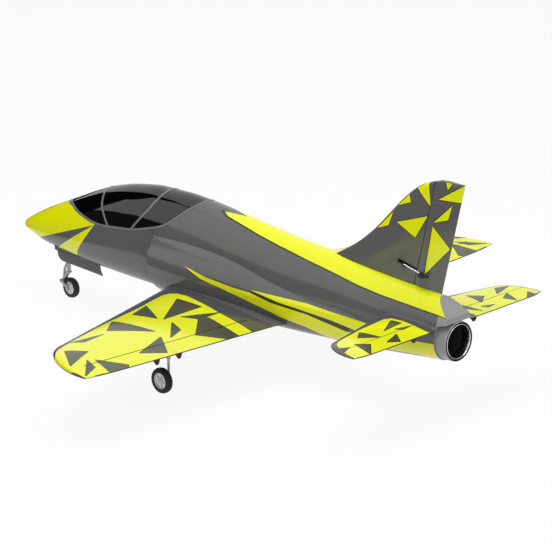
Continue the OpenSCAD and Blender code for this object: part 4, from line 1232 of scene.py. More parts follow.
@dataclass(frozen=True)
class Hinged:
    """A control surface that is cut from a panel along its hinge line.

    Attributes:
        name: Its name without the side.
        plan: The panel.
        hinge_x: Station of the hinge line.
        ys: Inner and outer end.
        nose_r: Radius of its rounded front at both ends.
        station: Place of its linkage along the span.
        servo: Servo axis from the hinge line.
        reach: Reach of the servo arm and of the horn.
        clear: Room between that front and the hollow in the panel.
        deep: Half the size of the block that it is cut with.
    """

    name: str
    plan: Planform
    hinge_x: float
    ys: Flat
    nose_r: Flat
    station: float
    servo: Flat = (-54.0, -4.0)
    reach: Flat = (12.0, -14.0)
    clear: float = 0.95
    deep: float = 60.0

    def link(self, side: Side) -> Link:
        """Returns the linkage under the panel."""
        def place(p: Point) -> Point:
            """Takes a point of the linkage's frame to its station."""
            q = self.plan.place((self.hinge_x + p[0], self.station + p[1], p[2]))
            return (q[0], q[1] * side.value, q[2])
        return Link(self.servo, self.reach, place)

    def slab(self, ys: Flat) -> Shape:
        """Returns the block of everything behind the hinge line."""
        x, deep = self.hinge_x, self.deep
        return block((x, ys[0], -deep), (x + 2 * deep, ys[1], deep))

    def roll(self, ys: Flat, grow: float) -> Shape:
        """Returns the round along the hinge line."""
        x = self.hinge_x
        one, two = (r + grow for r in self.nose_r)
        return turned((x, ys[0], 0), (x, ys[1], 0), [(0, one), (ys[1] - ys[0], two)], 56)

    def room(self, side: Side) -> list[Shape]:
        """Returns what the panel leaves free for the surface."""
        return [self.plan.seat(s, side) for s in (self.slab(self.ys), self.roll(self.ys, self.clear))]

    def surface(self, side: Side) -> Thing:
        """Cuts the surface from the panel.

        Args:
            side: The half of the model that it belongs to.

        Returns:
            The piece, not yet painted on top.
        """
        ys = (self.ys[0] + PANEL_GAP, self.ys[1] - PANEL_GAP)
        piece = self.plan.seat(self.plan.panel(), side).thing(f"{self.name}_skin_{side.word}", [DARK_PAINT])
        carve(piece, Cut.KEEP, self.plan.seat(self.slab(ys), side))
        carve(piece, Cut.JOIN, self.plan.seat(self.roll(ys, 0.0), side))
        return piece


def upper(middle: Vector, normal: Vector) -> bool:
    """Tells whether a face belongs to the upper side of a panel."""
    return normal.z > 0.02


@dataclass(frozen=True)
class Panel:
    """One half of the wing or of the tailplane, with the surfaces that are cut from it.

    Attributes:
        name: Its name without the side.
        side: The half of the model.
        controls: Its surfaces.
        yellow: Mask of the yellow on the upper side.
        shards: Masks of the dark shards on it.
        edge: Mask of the lining along the trailing edge.
        bays: Hollows for the gear.
        lining: Width of the line round a shard.
    """

    name: str
    side: Side
    controls: tuple[Hinged, ...]
    yellow: Outline
    shards: tuple[Outline, ...]
    edge: Outline
    bays: tuple[Shape, ...] = ()
    lining: float = 1.3

    def held(self, flat: Outline) -> Outline:
        """Returns a mask that was drawn to starboard, on this side of the model."""
        return tuple((x, y * self.side.value) for x, y in flat)

    def masks(self) -> list[Patch]:
        """Returns the yellow of the upper side, its dark shards and the lining of the trailing edge."""
        dark = [self.held(m) for m in self.shards]
        layers = [(self.held(self.yellow), YELLOW_PAINT)]
        layers += [(grown(m, self.lining), LINE_PAINT) for m in dark]
        layers += [(m, SHADE_PAINT) for m in dark]
        top = [Patch(mask, finish, View.TOP, upper) for mask, finish in layers]
        return top + [Patch(self.held(self.edge), LINE_PAINT, View.TOP)]

    def build(self) -> None:
        """Makes the panel and its surfaces, paints them and hands them over."""
        word = self.side.word
        plan = self.controls[0].plan
        skin = plan.seat(plan.panel(), self.side).thing(f"{self.name}_skin_{word}", [DARK_PAINT])
        for hinged in self.controls:
            carve(skin, Cut.AWAY, *hinged.room(self.side), finish=YELLOW_PAINT)
        for hinged in self.controls:
            carve(skin, Cut.AWAY, *hinged.link(self.side).pocket(), finish=RAW_FOAM)
        carve(skin, Cut.AWAY, *self.bays, finish=RAW_FOAM)
        paint(skin, self.masks(), skip=[RAW_FOAM])
        settle(skin, "airframe", "yellow_foam", f"{self.name}_{word}")
        for hinged in self.controls:
            body = f"{hinged.name}_{word}"
            piece = hinged.surface(self.side)
            paint(piece, self.masks())
            join(piece, hinged.link(self.side).horn().thing("horn", [BLACK_NYLON]))
            settle(piece, body, "yellow_foam", body)


MAIN_X = 683.0
LEG_Y = 234.5
LEG_TOP = -27.558


def gear_bays(side: Side) -> tuple[Shape, ...]:
    """Returns the retract bay, the leg's slot and the wheel's well in one wing."""
    low, roof = -AXIS_HEIGHT, LEG_TOP + 5.5
    well_y, well_r, well_roof = 138.06, 25.5, -30.56
    bay = block((MAIN_X - 12.5, LEG_Y - 7, low), (MAIN_X + 12.5, LEG_Y + 28, roof))
    slot = block((MAIN_X - 6.5, well_y - 6.5, low), (MAIN_X + 6.5, LEG_Y, roof))
    wall = [(0, well_r), (well_roof - low, well_r)]
    well = turned((MAIN_X, well_y, low), (MAIN_X, well_y, 0), wall, 80)
    return tuple(s.mirrored(side) for s in (bay, slot, well))


def wing(side: Side) -> Panel:
    """Returns one wing with its flap and its aileron."""
    hinge_x = 764.0
    flap = Hinged("flap", WING, hinge_x, (110, 322), (6.45, 6.15), 300)
    aileron = Hinged("aileron", WING, hinge_x, (327, 500), (6.15, 5.75), 352)
    yellow = ((810, 144), (763, 137), (713, 132), (661, 123), (603, 114), (580, 116), (567, 124), (564, 138),
              (575, 175), (592, 224), (610, 306), (640, 402), (672, 484), (690, 503), (716, 517), (752, 527),
              (812, 529))
    shards = (((593, 205), (665, 243), (616, 259)), ((605, 138), (668, 136), (675, 236)),
              ((616, 307), (713, 290), (655, 353)), ((665, 370), (674, 423), (654, 438)),
              ((737, 300), (796, 339), (772, 382)), ((696, 235), (732, 248), (749, 287)),
              ((685, 476), (715, 449), (748, 516)), ((746, 477), (777, 487), (795, 523)),
              ((752, 465), (799, 431), (806, 437), (805, 478)), ((684, 203), (709, 127), (713, 184)),
              ((710, 183), (716, 164), (810, 178), (810, 203), (765, 242)))
    edge = ((806.4, 92), (806.4, 455), (802, 510), (812, 510), (812, 92))
    return Panel("wing", side, (flap, aileron), yellow, shards, edge, gear_bays(side))


def tailplane(side: Side) -> Panel:
    """Returns one half of the tailplane with its elevator."""
    elevator = Hinged("elevator", STAB, 1115.0, (62, 235), (4.15, 3.0), 79, (-46, -2), (10, -12), 0.7)
    yellow = ((1157, 63), (1089, 57), (1066, 61), (1058, 73), (1063, 138), (1076, 205), (1086, 220),
              (1104, 232), (1130, 241), (1158, 244))
    near = (((1072, 69), (1093, 66), (1099, 116)), ((1105, 97), (1113, 64), (1116, 88)),
            ((1073, 150), (1116, 142), (1091, 173)), ((1123, 112), (1149, 131), (1137, 151)),
            ((1107, 199), (1125, 179), (1155, 211)), ((1099, 234), (1112, 216), (1119, 236)))
    far = (((1075, 125), (1100, 146), (1118, 118)), ((1083, 197), (1094, 223), (1108, 173)),
           ((1117, 189), (1151, 176), (1129, 164)), ((1136, 225), (1151, 227), (1156, 198)),
           ((1067, 72), (1145, 88), (1116, 67)), ((1130, 102), (1139, 129), (1141, 108)))
    edge = ((1153.6, 48), (1153.6, 215), (1149, 240), (1159, 240), (1159, 48))
    return Panel("stab", side, (elevator,), yellow, near if side is Side.LEFT else far, edge)


@dataclass(frozen=True)
class Fin:
    """The fin on the spine with its rudder, split along a hinge line that leans aft.

    Attributes:
        front: Leading edge over shares of the height.
        base_z: Height where those shares start.
        top: Height of the tip.
        low_te: Lower end of the trailing edge.
        thick: Thickness at the foot and at the tip.
        hinge: Lower end of the hinge line.
        lean: Lean of the hinge line.
        span: Length of the hinge line.
        nose_r: Radius of the rudder's rounded front.
        cove_r: Radius of the hollow in the fin.
        lug: Start and length of the hinge lug.
        low: Lower end of the rounded front.
    """

    front: Batten = Batten(((0, 879), (0.09, 907), (0.19, 935), (0.37, 974), (0.56, 1008), (0.73, 1038),
                            (0.88, 1071), (0.95, 1095), (1, 1124)))
    base_z: float = 100.0
    top: float = 279.0
    low_te: Flat = (1127.0, 77.0)
    thick: Flat = (15.0, 8.0)
    hinge: Flat = (1067.0, 77.0)
    lean: float = math.atan(49.0 / 202.0)
    span: float = 207.9
    nose_r: float = 3.8
    cove_r: float = 4.9
    lug: Flat = (118.0, 8.0)
    low: float = 6.0

    def swing(self, p: Point) -> Point:
        """Takes a point of the rudder's own frame to its station."""
        c, s = math.cos(self.lean), math.sin(self.lean)
        return (self.hinge[0] + p[0] * c + p[2] * s, p[1], self.hinge[1] - p[0] * s + p[2] * c)

    def link(self) -> Link:
        """Returns the linkage on the fin's port side."""
        return Link((-36, 0), (10, -12), lambda p: self.swing((p[0], p[2], 32 - p[1])), 19.0, 36.0)

    def ring(self, share: float, gap: float) -> Ring:
        """Draws one section; the lowest one lies along the spine.

        Args:
            share: Share of the fin's height.
            gap: Room over the spine.

        Returns:
            The points round the section.
        """
        level = mix(self.base_z, self.top, share)
        te = self.low_te[0] + (0 if share == 0 else (level - self.low_te[1]) * math.tan(self.lean))
        flat = Airfoil.ring(0, self.front.at(share), te, mix(*self.thick, share))
        return [(p[0], p[2], LINES.spine.at(p[0]) + gap if share == 0 else level) for p in flat]

    def loft(self, gap: float) -> Shape:
        """Lofts the whole fin with its rudder."""
        return loft([self.ring(s, gap) for s in (0, *steps(0.045, 0.97, 30), 0.99, 1)])

    def behind(self) -> Shape:
        """Returns the block of everything behind the hinge line."""
        return block((0, -30, -30), (100, 30, 2 * self.span)).moved(self.swing)

    def post(self, radius: float, low: float, high: float) -> Shape:
        """Returns a round along the hinge line."""
        return turned((0, 0, low), (0, 0, high), [(0, radius), (high - low, radius)], 40).moved(self.swing)

    def masks(self) -> list[Patch]:
        """Returns the scattered yellow shards of both sides, each with a dark line round it."""
        shards = (((980, 167), (1017, 204), (1008, 178)), ((1027, 217), (1054, 242), (1059, 229)),
                  ((1073, 257), (1099, 272), (1104, 229)), ((1137, 278), (1151, 278), (1141, 265)),
                  ((1121, 245), (1177, 279), (1172, 247)), ((1028, 188), (1097, 211), (1070, 168)),
                  ((1110, 202), (1150, 239), (1141, 212)), ((1108, 195), (1145, 161), (1090, 105)))
        return [Patch(grown(m, 1.5), LINE_PAINT) for m in shards] + [Patch(m, YELLOW_PAINT) for m in shards]

    def build(self) -> None:
        """Makes fin and rudder, paints them and hands them over."""
        start, long = self.lug
        end = start + long
        fin = self.loft(SEAT).thing("fin_skin", [GREY_PAINT])
        carve(fin, Cut.AWAY, self.behind(), self.post(self.cove_r, -30, 2 * self.span))
        carve(fin, Cut.AWAY, *self.link().pocket(), finish=DARK_PAINT)
        root = block((-9, -2, start), (0, 2, end)).moved(self.swing)
        carve(fin, Cut.JOIN, self.post(self.nose_r, start, end), root)
        paint(fin, self.masks(), skip=[DARK_PAINT])
        settle(fin, "airframe", "grey_foam", "fin")
        rudder = self.loft(3 * PANEL_GAP).thing("rudder_skin", [GREY_PAINT])
        carve(rudder, Cut.KEEP, self.behind())
        carve(rudder, Cut.JOIN, self.post(self.nose_r, self.low, self.span - 14))
        carve(rudder, Cut.AWAY, self.post(self.cove_r + 1, start - PANEL_GAP, end + PANEL_GAP))
        paint(rudder, self.masks())
        join(rudder, self.link().horn().thing("horn", [BLACK_NYLON]))
        settle(rudder, "rudder", "grey_foam", "rudder")


def capsule(one: Flat, two: Flat, radii: Flat, count: int = 10) -> list[Flat]:
    """Returns the outline of a flat arm with two round ends, in side view.

    Args:
        one: Middle of the first end.
        two: Middle of the second end.
        radii: Radius of each end.
        count: Corners on each end.

    Returns:
        The corners of the outline.
    """
    lead = math.atan2(two[1] - one[1], two[0] - one[0])
    ends = ((one, radii[0], lead + math.pi / 2), (two, radii[1], lead - math.pi / 2))
    return [(c[0] + r * math.cos(a + math.pi * k / count), c[1] + r * math.sin(a + math.pi * k / count))
            for c, r, a in ends for k in range(count + 1)]


@dataclass(frozen=True)
class NoseDoor:
    """One of the two long doors of the nose gear, with pressed ribs and a hinge barrel."""

    side: Side
    ends: Flat = (134.0, 266.0)
    hinge: Flat = (30.0, -42.0)
    half_t: float = 1.0
    low: Flat = (-60.8, -66.2)
    barrel_r: float = 2.0
    pin_r: float = 0.85
    ribs: tuple[Flat, ...] = ((-46.6, -48.0), (-51.2, -54.0), (-55.8, -60.2))

    def build(self) -> None:
        """Makes the door and hands it over."""
        (x0, x1), (y, z) = self.ends, self.hinge
        near, far = self.low
        front = ((x0, z), (x0, z - 5), (x0 + 1.5, z - 10), (x0 + 5, z - 14.5), (x0 + 10, near + 1))
        rear = ((x1 + 4, far - 0.3), (x1 - 2, far + 9), (x1 - 4, z - 4), (x1, z - 2), (x1, z))
        outline = (*front, (x0 + 16, near), *rear)
        plate = prism(outline, y - self.half_t, y + self.half_t).mirrored(self.side)
        name = "nose_door_" + self.side.word
        door = plate.thing(name + "_panel", [DARK_PAINT])
        carve(door, Cut.JOIN, rod((x0, y, z), (x1, y, z), self.barrel_r).mirrored(self.side))
        for k, rib in enumerate(self.ribs):
            out = y + self.half_t - 0.3
            bead = rod((x0 + 10 + 4 * k, out, rib[0]), (x1 - 9, out, rib[1]), 0.95, 0.9, 12)
            carve(door, Cut.JOIN, bead.mirrored(self.side))
        for x in self.ends:
            carve(door, Cut.AWAY, rod((x - 7, y, z), (x + 7, y, z), self.pin_r).mirrored(self.side))
        tidy(door)
        settle(door, name, "grey_foam", name)


@dataclass(frozen=True)
class NoseLeg:
    """The sprung nose leg: a sleeve on a trunnion, a steering fork and a trailing link."""

    top: Flat = (130.0, -20.0)
    link: Flat = (113.0, -114.0)
    axle: Flat = (135.0, -127.0)
    sleeve_low: float = -66.0
    collar_low: float = -73.5
    piston_r: float = 3.0
    play: float = 0.05

    def across(self, at: Flat, half: float, radius: float) -> Shape:
        """Returns a pin or a bore across the leg."""
        return rod((at[0], -half, at[1]), (at[0], half, at[1]), radius)

    def build(self) -> None:
        """Makes the three parts of the leg and hands them over."""
        for part in (self.strut, self.fork, self.trailing_link):
            part()

    def strut(self) -> None:
        """Makes the sleeve with its gland nut, its brace and its trunnion."""
        x, z = self.top
        end = z - self.sleeve_low
        gland = ((-13, 4.5), (-12.5, 4.1), (-10.6, 4.1), (-10, 5.0), (-9.4, 5.4), (-1, 5.4), (0, 4.6))
        sleeve = [(0, 4.2), (0.6, 4.5), *((end + along, r) for along, r in gland)]
        strut = self.across(self.top, 7, 5).thing("nose_strut_sleeve", [LEG_ALLOY])
        knee = (x - 12, z - 24)
        brace = [capsule((x - 3, z - 8), knee, (2.4, 2)), capsule(knee, (x - 3, z - 0.8 * end), (2, 2.2))]
        carve(strut, Cut.JOIN, turned((x, 0, z), (x, 0, z - 1), sleeve))
        for k, arm in enumerate(brace):
            carve(strut, Cut.JOIN, prism(arm, -2.2 + 0.1 * k, 2.2 - 0.1 * k))
        carve(strut, Cut.AWAY, self.across(self.top, 14, 2 + self.play),
              rod((x, 0, self.sleeve_low - 1), (x, 0, self.sleeve_low + 34), self.piston_r + self.play))
        tidy(strut)
        settle(strut, "nose_strut", "plated_steel", "nose_strut")

    def fork(self) -> None:
        """Makes the piston, its collar and the raked leg."""
        x = self.top[0]
        piston = rod((x, 0, self.collar_low), (x, 0, self.collar_low + 39), self.piston_r)
        fork = piston.thing("nose_fork_leg", [LEG_ALLOY])
        leg = [(0, 4.0), (0.8, 4.4), (7, 4.9), (9, 4.9), (9.5, 4.2), (30, 4.2), (30.8, 3.6)]
        top = self.collar_low + 7
        carve(fork, Cut.JOIN, turned((x, 0, top), (x, 0, top - 1), leg), self.across(self.link, 4, 3.5))
        knee = (x - 13, self.collar_low - 16)
        arms = ((capsule((x - 2, -94), self.link, (3.1, 3.2)), 3.0),
                (capsule((x - 4, -75), knee, (1.7, 1.7)), 2.2), (capsule(knee, self.link, (1.7, 2.0)), 2.1))
        for arm, half in arms:
            carve(fork, Cut.JOIN, prism(arm, -half, half))
        carve(fork, Cut.JOIN, rod((x + 4, -5.2, -94), (x + 4, 3.4, -94), 1.7))
        carve(fork, Cut.AWAY, self.across(self.link, 8, 1.5 + self.play))
        tidy(fork)
        settle(fork, "nose_fork", "plated_steel", "nose_fork")

    def trailing_link(self) -> None:
        """Makes the two arms beside the wheel, with the pin and the axle."""
        arm = capsule(self.link, self.axle, (3.0, 3.5))
        link = self.across(self.link, 10.3, 1.5).thing("nose_link_arms", [LEG_ALLOY])
        for side in Side:
            carve(link, Cut.JOIN, prism(arm, 7.5, 10).mirrored(side))
            for (x, z), radius in ((self.link, 2.1), (self.axle, 2.6)):
                nut = rod((x, 9.6, z), (x, 11.2, z), radius, 0.5, 6)
                carve(link, Cut.JOIN, nut.mirrored(side))
        carve(link, Cut.JOIN, self.across(self.axle, 10.4, 2.0))
        tidy(link)
        settle(link, "nose_link", "turned_alloy", "nose_link")


@dataclass(frozen=True)
class MainLeg:
    """One main leg: a trunnion, a sleeve with its gland nut, a slim piston and an axle."""

    side: Side
    axle_z: float = -124.0
    axle_end: float = 259.5
    slim_share: float = 0.38

    def build(self) -> None:
        """Makes the leg and hands it over."""
        x, y, z, low = MAIN_X, LEG_Y, LEG_TOP, self.axle_z
        name = "main_strut_" + self.side.word
        span = z - low
        end = span - span * self.slim_share
        gland = ((-9, 3.5), (-8.6, 3.2), (-7.6, 3.2), (-7, 4.2), (-1, 4.2), (0, 3.4), (0.2, 2.5))
        profile = [(0, 3.4), *((end + along, r) for along, r in gland), (span, 2.5)]
        leg = rod((x - 8, y, z), (x + 8, y, z), 5).mirrored(self.side).thing(name + "_leg", [LEG_ALLOY])
        foot = rod((x, y - 3.5, low), (x, y + 3.5, low), 5, 0.8)
        axle = rod((x, y, low), (x, self.axle_end, low), 2)
        parts = (turned((x, y, z), (x, y, z - 1), profile), foot, axle)
        carve(leg, Cut.JOIN, *(part.mirrored(self.side) for part in parts))
        carve(leg, Cut.AWAY, rod((x - 16, y, z), (x + 16, y, z), 2.05).mirrored(self.side))
        tidy(leg)
        settle(leg, name, "plated_steel", name)


@dataclass(frozen=True)
class Wheel:
    """A foam tyre with moulded tread lugs on a ribbed hub.

    Attributes:
        end: Last part of the node names, as in main_tyre_left.
        front: First part of the node names.
        middle: Centre of the wheel.
        diameter: Over the tyre.
        width: Of the tyre.
        ribs: Spokes on each face of the hub.
        lugs: Tread lugs round each shoulder.
    """

    front: str
    end: str
    middle: Point
    diameter: float
    width: float
    ribs: int = 6
    lugs: int = 26
    hub_share: float = 0.62
    bore: float = 2.05
    play: float = 0.05

    def ring(self, name: str, finish: Finish, profile: Sequence[Flat]) -> Thing:
        """Turns a closed profile of offsets across the wheel and radii."""
        x, y, z = self.middle
        return tube_ring((x, y, z), (x, y + 1, z), profile, 72).thing(name, [finish])

    def round_copies(self, piece: Thing, count: int) -> Thing:
        """Sets copies of a piece round the axle."""
        return Copies(count, self.middle, (0.0, 1.0, 0.0)).spread(piece)

    def tyre(self) -> None:
        """Makes the tyre with its grooves and lugs."""
        r, half = self.diameter / 2, self.width / 2
        seat_r = self.hub_share * r + self.play
        crown = r * (1 - self.hub_share) * 0.8
        profile = [(0.76 * half, seat_r), (-0.76 * half, seat_r)]
        for a in range(-90, 91, 6):
            s, c = math.sin(math.radians(a)), max(0.0, math.cos(math.radians(a)))
            groove = 0.55 if abs(a) in (6, 24) else 0.0
            profile.append((half * math.copysign(abs(s) ** 0.86, s), r - crown + crown * c ** 0.8 - groove))
        tyre = self.ring(self.front + "tyre_tread" + self.end, RUBBER, profile)
        x, y, z = self.middle
        top = z + r - 0.22 * crown
        for k in (-1, 1):
            low, high = sorted((y + k * 0.56 * half, y + k * 0.82 * half))
            lug = block((x - 1.1, low, top - 1), (x + 1.1, high, top + 0.2))
            join(tyre, self.round_copies(lug.thing("tread_lug", [RUBBER]), self.lugs))
        settle(tyre, self.body(), "tyre_rubber", self.front + "tyre" + self.end)

    def hub(self) -> None:
        """Makes the hub with its rim, web, ribs and boss."""
        r, half = self.hub_share * self.diameter / 2, self.width / 2
        rim, web, boss = 0.76 * half, 0.26 * half, self.bore + 2.5
        side = [(rim, r), (rim + 0.2, r - 0.5), (rim, r - 1.3), (rim - 1.2, r - 2), (web + 0.5, r - 2.4),
                (web, r - 3.2), (web, boss + 0.6), (web + 0.6, boss), (half - 0.6, boss - 0.4),
                (half, boss - 1), (half, self.bore)]
        profile = [*side, *((-a, b) for a, b in reversed(side))]
        hub = self.ring(self.front + "hub_rim" + self.end, SILVER_PAINT, profile)
        x, y, z = self.middle
        for k in (-1, 1):
            low, high = sorted((y + k * (web - 0.3), y + k * (web + 0.34 * half)))
            rib = block((x - 1.2, low, z + boss - 0.4), (x + 1.2, high, z + r - 1.9))
            join(hub, self.round_copies(rib.thing("hub_rib", [SILVER_PAINT]), self.ribs))
        settle(hub, self.body(), "turned_alloy", self.front + "hub" + self.end)

    def body(self) -> str:
        """Returns the body that the wheel moves with."""
        return self.front + "wheel" + self.end

    def build(self) -> None:
        """Makes the whole wheel."""
        self.tyre()
        self.hub()


@dataclass(frozen=True)
class Nozzle:
    """The painted exhaust ring with its bright inner edge, and its groove painted near-black as painted
    shade of the gap behind the ring.
    """

    front: float = 1143.3
    seat: float = 1148.3
    end: float = 1167.0
    outer: float = 35.7
    inner: float = 29.9
    socket: float = 31.85
    groove: Point = (1161.0, 31.05, 34.7)

    def build(self) -> None:
        """Makes the ring and hands it over."""
        depth, low, high = self.groove
        f, s, e, out, near = self.front, self.seat, self.end, self.outer, self.inner
        shell = [(f, self.socket), (f, out - 0.5), (f + 0.6, out), (e - 2.4, out), (e - 1.2, out - 0.25),
                 (e - 0.4, out - 0.7), (e, high), (depth, high), (depth, low), (s, low), (s, self.socket)]
        lip = [(s + 0.05, low - 0.05), (s + 0.05, near), (e - 0.7, near), (e - 0.2, near + 0.3),
               (e - 0.2, low - 0.4), (e - 0.7, low - 0.05)]
        ring = tube_ring((0, 0, 0), (1, 0, 0), shell, 96).thing("nozzle_shell", [NOZZLE_PAINT])
        # The groove's floor and outer wall take the near-black: painted shade of the deep gap between ring
        # and tube
        ring.data.materials.append(DUCT_BLACK_AND_GAP_SHADE.material())
        for face in ring.data.polygons:
            spot = face.center * 1000.0
            radius = math.hypot(spot.y, spot.z - AXIS_HEIGHT)
            if spot.x + HALF_LENGTH > depth - 0.1 and radius < high + 0.05:
                face.material_index = 1
        join(ring, tube_ring((0, 0, 0), (1, 0, 0), lip, 96).thing("nozzle_lip", [PLATED_STEEL]))
        settle(ring, "airframe", "nozzle_alloy", "nozzle_ring")


@dataclass(frozen=True)
class Fan:
    """The rotor with its spinner and twisted blades."""

    blades: int = 9
    middle: float = 738.0
    reach: Flat = (12.6, 34.4)
    pitch: Flat = (56.0, 36.0)
    chord: Flat = (16.0, 20.0)
    thick: Flat = (2.6, 1.3)

    def blade(self) -> Shape:
        """Lofts one twisted blade that points up."""
        rings = []
        for k in range(9):
            s = k / 8
            a = math.radians(mix(*self.pitch, s))
            sin, cos = math.sin(a), math.cos(a)
            ring = []
            for j in range(16):
                t = 2 * math.pi * j / 16
                u = mix(*self.chord, s) / 2 * math.cos(t)
                v = mix(*self.thick, s) / 2 * math.sin(t) + 1.2 * math.sin(t / 2) ** 2 - 0.6
                ring.append((self.middle + u * sin + v * cos, u * cos - v * sin, mix(*self.reach, s)))
            rings.append(ring)
        return loft(rings)

    def build(self) -> None:
        """Makes the rotor and hands it over."""
        profile = [(724, 1.65), (724, 7), (724.6, 8.2), (726, 10.2), (728, 12), (730, 13.2), (732.5, 14),
                   (745.6, 14), (746, 13.6), (746, 1.65)]
        rotor = tube_ring((0, 0, 0), (1, 0, 0), profile, 48).thing("fan_spinner", [BLACK_NYLON])
        blade = self.blade().thing("fan_blade", [BLACK_NYLON])
        join(rotor, Copies(self.blades, (self.middle, 0.0, 0.0), (1.0, 0.0, 0.0)).spread(blade))
        settle(rotor, "fan", "fan_plastic", "fan_rotor")


# CAD solids that already have the right shape, with the finish of the real part
PAIRED = [f"{name}_{{}}_{side.word}" for name in ("flap", "aileron", "elevator") for side in Side]
STOCK: dict[Finish, tuple[str, ...]] = {
    PLATED_STEEL: ("hatch_screws", "hinge_pins", "rudder_rod", *(name.format("rod") for name in PAIRED)),
    BIRCH_PLY: ("battery_tray",),
    SHRINK_WRAP: ("battery_pack",),
    BLACK_NYLON: ("electronics", "fan_housing", "retracts", "rudder_arm",
                  *(name.format("arm") for name in PAIRED)),
    TURNED_ALLOY: ("fan_motor",),
    DUCT_BLACK_AND_GAP_SHADE: ("thrust_tube",),
    CARBON_TUBE: ("wing_spars", "tail_spars"),
    SERVO_CASE: ("servos",),
}


def dress_stock() -> None:
    """Gives every carried-over CAD solid its finish."""
    for finish, names in STOCK.items():
        for name in names:
            solid = bpy.data.objects[name]
            solid.data.materials.clear()
            solid.data.materials.append(finish.material())


@dataclass(frozen=True)
class Studio:
    """The pale floor, the soft lamps and the camera of the photograph.

    Attributes:
        target: Point that the camera looks at, in metres.
        distance: From that point to the camera.
        azimuth: Direction to the camera, in degrees from the port side towards the tail.
        elevation: Height of the camera, in degrees.
        roll: Lean of the camera, in degrees.
        lens: Focal length on a sensor of 36 mm.
        floor_half: Half the width of the floor.
        floor_glow: Share of plain white in the floor as the camera sees it; the rest keeps the shadow.
        room_light: Level of the room as a light, and as the camera and gloss see it.
        flag_distance: From the model to the flags.
    """

    target: Point = (0.1369, 0.0, 0.1716)
    distance: float = 4.197
    azimuth: float = 45.0
    elevation: float = 17.5
    roll: float = -0.7
    lens: float = 148.54
    floor_half: float = 14.0
    floor_glow: float = 0.92
    room_light: Flat = (0.42, 1.0)
    flag_distance: float = 10.0

    def camera(self) -> None:
        """Sets the camera of the photograph."""
        a, e, t = (math.radians(v) for v in (self.azimuth, self.elevation, self.roll))
        back = Vector((math.sin(a) * math.cos(e), -math.cos(a) * math.cos(e), math.sin(e)))
        right = Vector((0, 0, 1)).cross(back).normalized()
        up = back.cross(right)
        over = right * math.cos(t) + up * math.sin(t)
        rise = up * math.cos(t) - right * math.sin(t)
        lens = bpy.data.cameras.new("photo_camera")
        lens.lens = self.lens
        lens.sensor_width = 36.0
        lens.clip_end = 60.0
        camera = bpy.data.objects.new("photo_camera", lens)
        turn = Matrix((over, rise, back)).transposed().to_4x4()
        camera.matrix_world = Matrix.Translation(Vector(self.target) + back * self.distance) @ turn
        bpy.context.scene.collection.objects.link(camera)
        bpy.context.scene.camera = camera

    def lamp(self, name: str, place: Point, size: float, power: float) -> None:
        """Adds one soft lamp that looks at the model.

        Args:
            name: The lamp's name.
            place: Its place in metres.
            size: Width of its square.
            power: Its power in watts.
        """
        light = bpy.data.lights.new(name, "AREA")
        light.size = size
        light.energy = power
        lamp = bpy.data.objects.new(name, light)
        lamp.location = place
        lamp.rotation_euler = (Vector((0.0, 0.0, 0.1)) - Vector(place)).to_track_quat("-Z", "Y").to_euler()
        bpy.context.scene.collection.objects.link(lamp)

    def seen(self, tree: Tree) -> Socket:
        """Returns a value that is one for the rays of the camera and of gloss."""
        ray = add_node(tree, "ShaderNodeLightPath").outputs
        return maths(tree, "MAXIMUM", ray["Is Camera Ray"], ray["Is Glossy Ray"])

    def floor(self) -> None:
        """Lays the pale floor, which keeps the model's shadow."""
        h = self.floor_half
        mesh = bpy.data.meshes.new("studio_floor")
        mesh.from_pydata([(-h, -h, 0), (h, -h, 0), (h, h, 0), (-h, h, 0)], [], [(0, 1, 2, 3)])
        paper = bpy.data.materials.new("white_paper_sweep")
        paper.use_nodes = True
        tree = paper.node_tree
        tree.nodes.clear()
        matt = add_node(tree, "ShaderNodeBsdfDiffuse", None, {"Color": srgb("#f2f2f2")})
        glow = add_node(tree, "ShaderNodeEmission", None, {"Color": srgb("#ffffff"), "Strength": 1.0})
        share = maths(tree, "MULTIPLY", self.seen(tree), self.floor_glow)
        both_ways = add_node(tree, "ShaderNodeMixShader", None, {
            "Fac": share, 1: matt.outputs["BSDF"], 2: glow.outputs["Emission"]})
        add_node(tree, "ShaderNodeOutputMaterial", None, {"Surface": both_ways.outputs["Shader"]})
        mesh.materials.append(paper)
        floor = bpy.data.objects.new("studio_floor", mesh)
        bpy.context.scene.collection.objects.link(floor)

    def aim(self, turn: float, rise: float, reach: float | None = None) -> Point:
        """Returns a point round the model, by its degrees from the tail, its elevation and its reach."""
        reach = reach or self.flag_distance
        a = math.radians(turn)
        return (reach * math.cos(a), reach * math.sin(a), reach * math.tan(math.radians(rise)))

    def flag(self, name: str, rims: Sequence[tuple[Point, Point]], tone: str = "#060606") -> None:
        """Hangs a dark flag beside the model, which only shows in gloss and shapes it.

        Args:
            name: The flag's name.
            rims: Pairs of points on its two long edges.
            tone: Colour of its cloth.
        """
        points = [p for pair in rims for p in pair]
        mesh = bpy.data.meshes.new(name)
        faces = [(k, k + 2, k + 3, k + 1) for k in range(0, len(points) - 2, 2)]
        mesh.from_pydata(points, [], faces)
        cloth = bpy.data.materials.new(name + "_cloth")
        cloth.use_nodes = True
        cloth.node_tree.nodes.clear()
        black = add_node(cloth.node_tree, "ShaderNodeBsdfDiffuse", None, {"Color": srgb(tone)})
        add_node(cloth.node_tree, "ShaderNodeOutputMaterial", None, {"Surface": black.outputs["BSDF"]})
        mesh.materials.append(cloth)
        flag = bpy.data.objects.new(name, mesh)
        flag.visible_camera = False
        flag.visible_diffuse = False
        flag.visible_shadow = False
        bpy.context.scene.collection.objects.link(flag)

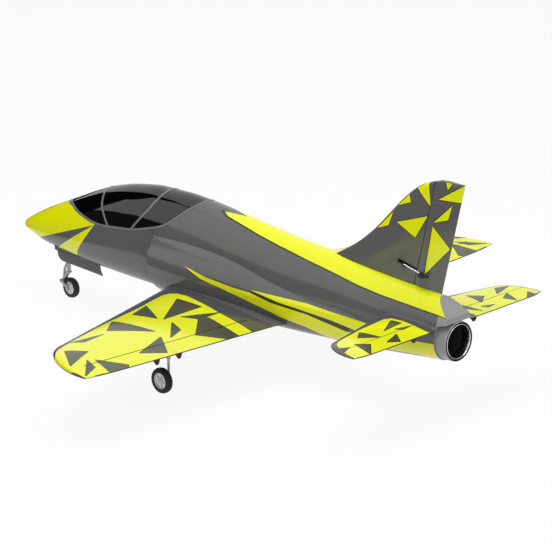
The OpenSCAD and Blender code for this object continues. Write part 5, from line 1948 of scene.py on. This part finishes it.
    def sky(self) -> None:
        """Sets the even light of the room."""
        world = bpy.data.worlds.new("studio_room")
        world.use_nodes = True
        tree = world.node_tree
        tree.nodes.clear()
        low, high = self.room_light
        level = add_node(tree, "ShaderNodeMapRange", None,
                         {"Value": self.seen(tree), "To Min": low, "To Max": high})
        room = add_node(tree, "ShaderNodeBackground", None,
                        {"Color": srgb("#ffffff"), "Strength": level.outputs["Result"]})
        add_node(tree, "ShaderNodeOutputWorld", None, {"Surface": room.outputs["Background"]})
        bpy.context.scene.world = world

    def build(self) -> None:
        """Sets up the whole studio."""
        bpy.context.scene.view_settings.view_transform = "Standard"
        self.camera()
        self.floor()
        self.sky()
        self.lamp("overhead_softbox", (0.4, -0.4, 3.0), 2.2, 60.0)
        self.lamp("port_softbox", (0.9, -3.2, 1.6), 1.8, 10.0)
        wall = ((145, 4), (159, 9), (164, 13), (168, 18), (179, 27), (186, 34), (194, 41), (204, 43))
        self.flag("black_flag", [(self.aim(t, 0.0), self.aim(t, e)) for t, e in wall])
        low = ((204, 11), (218, 11), (231, 10), (240, 7), (265, 5), (290, 5))
        self.flag("grey_flag", [(self.aim(t, 0.0), self.aim(t, e)) for t, e in low], "#5a5a5a")
        seam = ((204, 40, 43), (207, 42, 44), (209, 43, 47), (210, 45, 52), (211.5, 49, 54))
        self.flag("black_strip", [(self.aim(t, a), self.aim(t, b)) for t, a, b in seam])
        hem = [(math.cos(math.radians(t)), math.sin(math.radians(t))) for t in range(140, 305, 10)]
        sweep = [((0.4 * c - 0.45, 0.4 * s, 0.003), (10 * c - 0.45, 10 * s, 0.003)) for c, s in hem]
        self.flag("grey_floor_cloth", sweep, "#5a5a5a")


def main() -> None:
    """Builds the studio and every sub-assembly of the model."""
    logging.basicConfig(level=logging.INFO, format="%(name)s: %(message)s")
    Studio().build()
    Fuselage().build()
    Canopy().build()
    for side in Side:
        main_wheel = (MAIN_X, 251.5 * side.value, -124.0)
        for part in (wing(side), tailplane(side), NoseDoor(side), MainLeg(side)):
            part.build()
        Wheel("main_", "_" + side.word, main_wheel, 48.0, 14.5).build()
    Fin().build()
    NoseLeg().build()
    Wheel("nose_", "", (135.0, 0.0, -127.0), 42.0, 14.0).build()
    Nozzle().build()
    Fan().build()
    dress_stock()


if __name__ == "__main__":
    main()
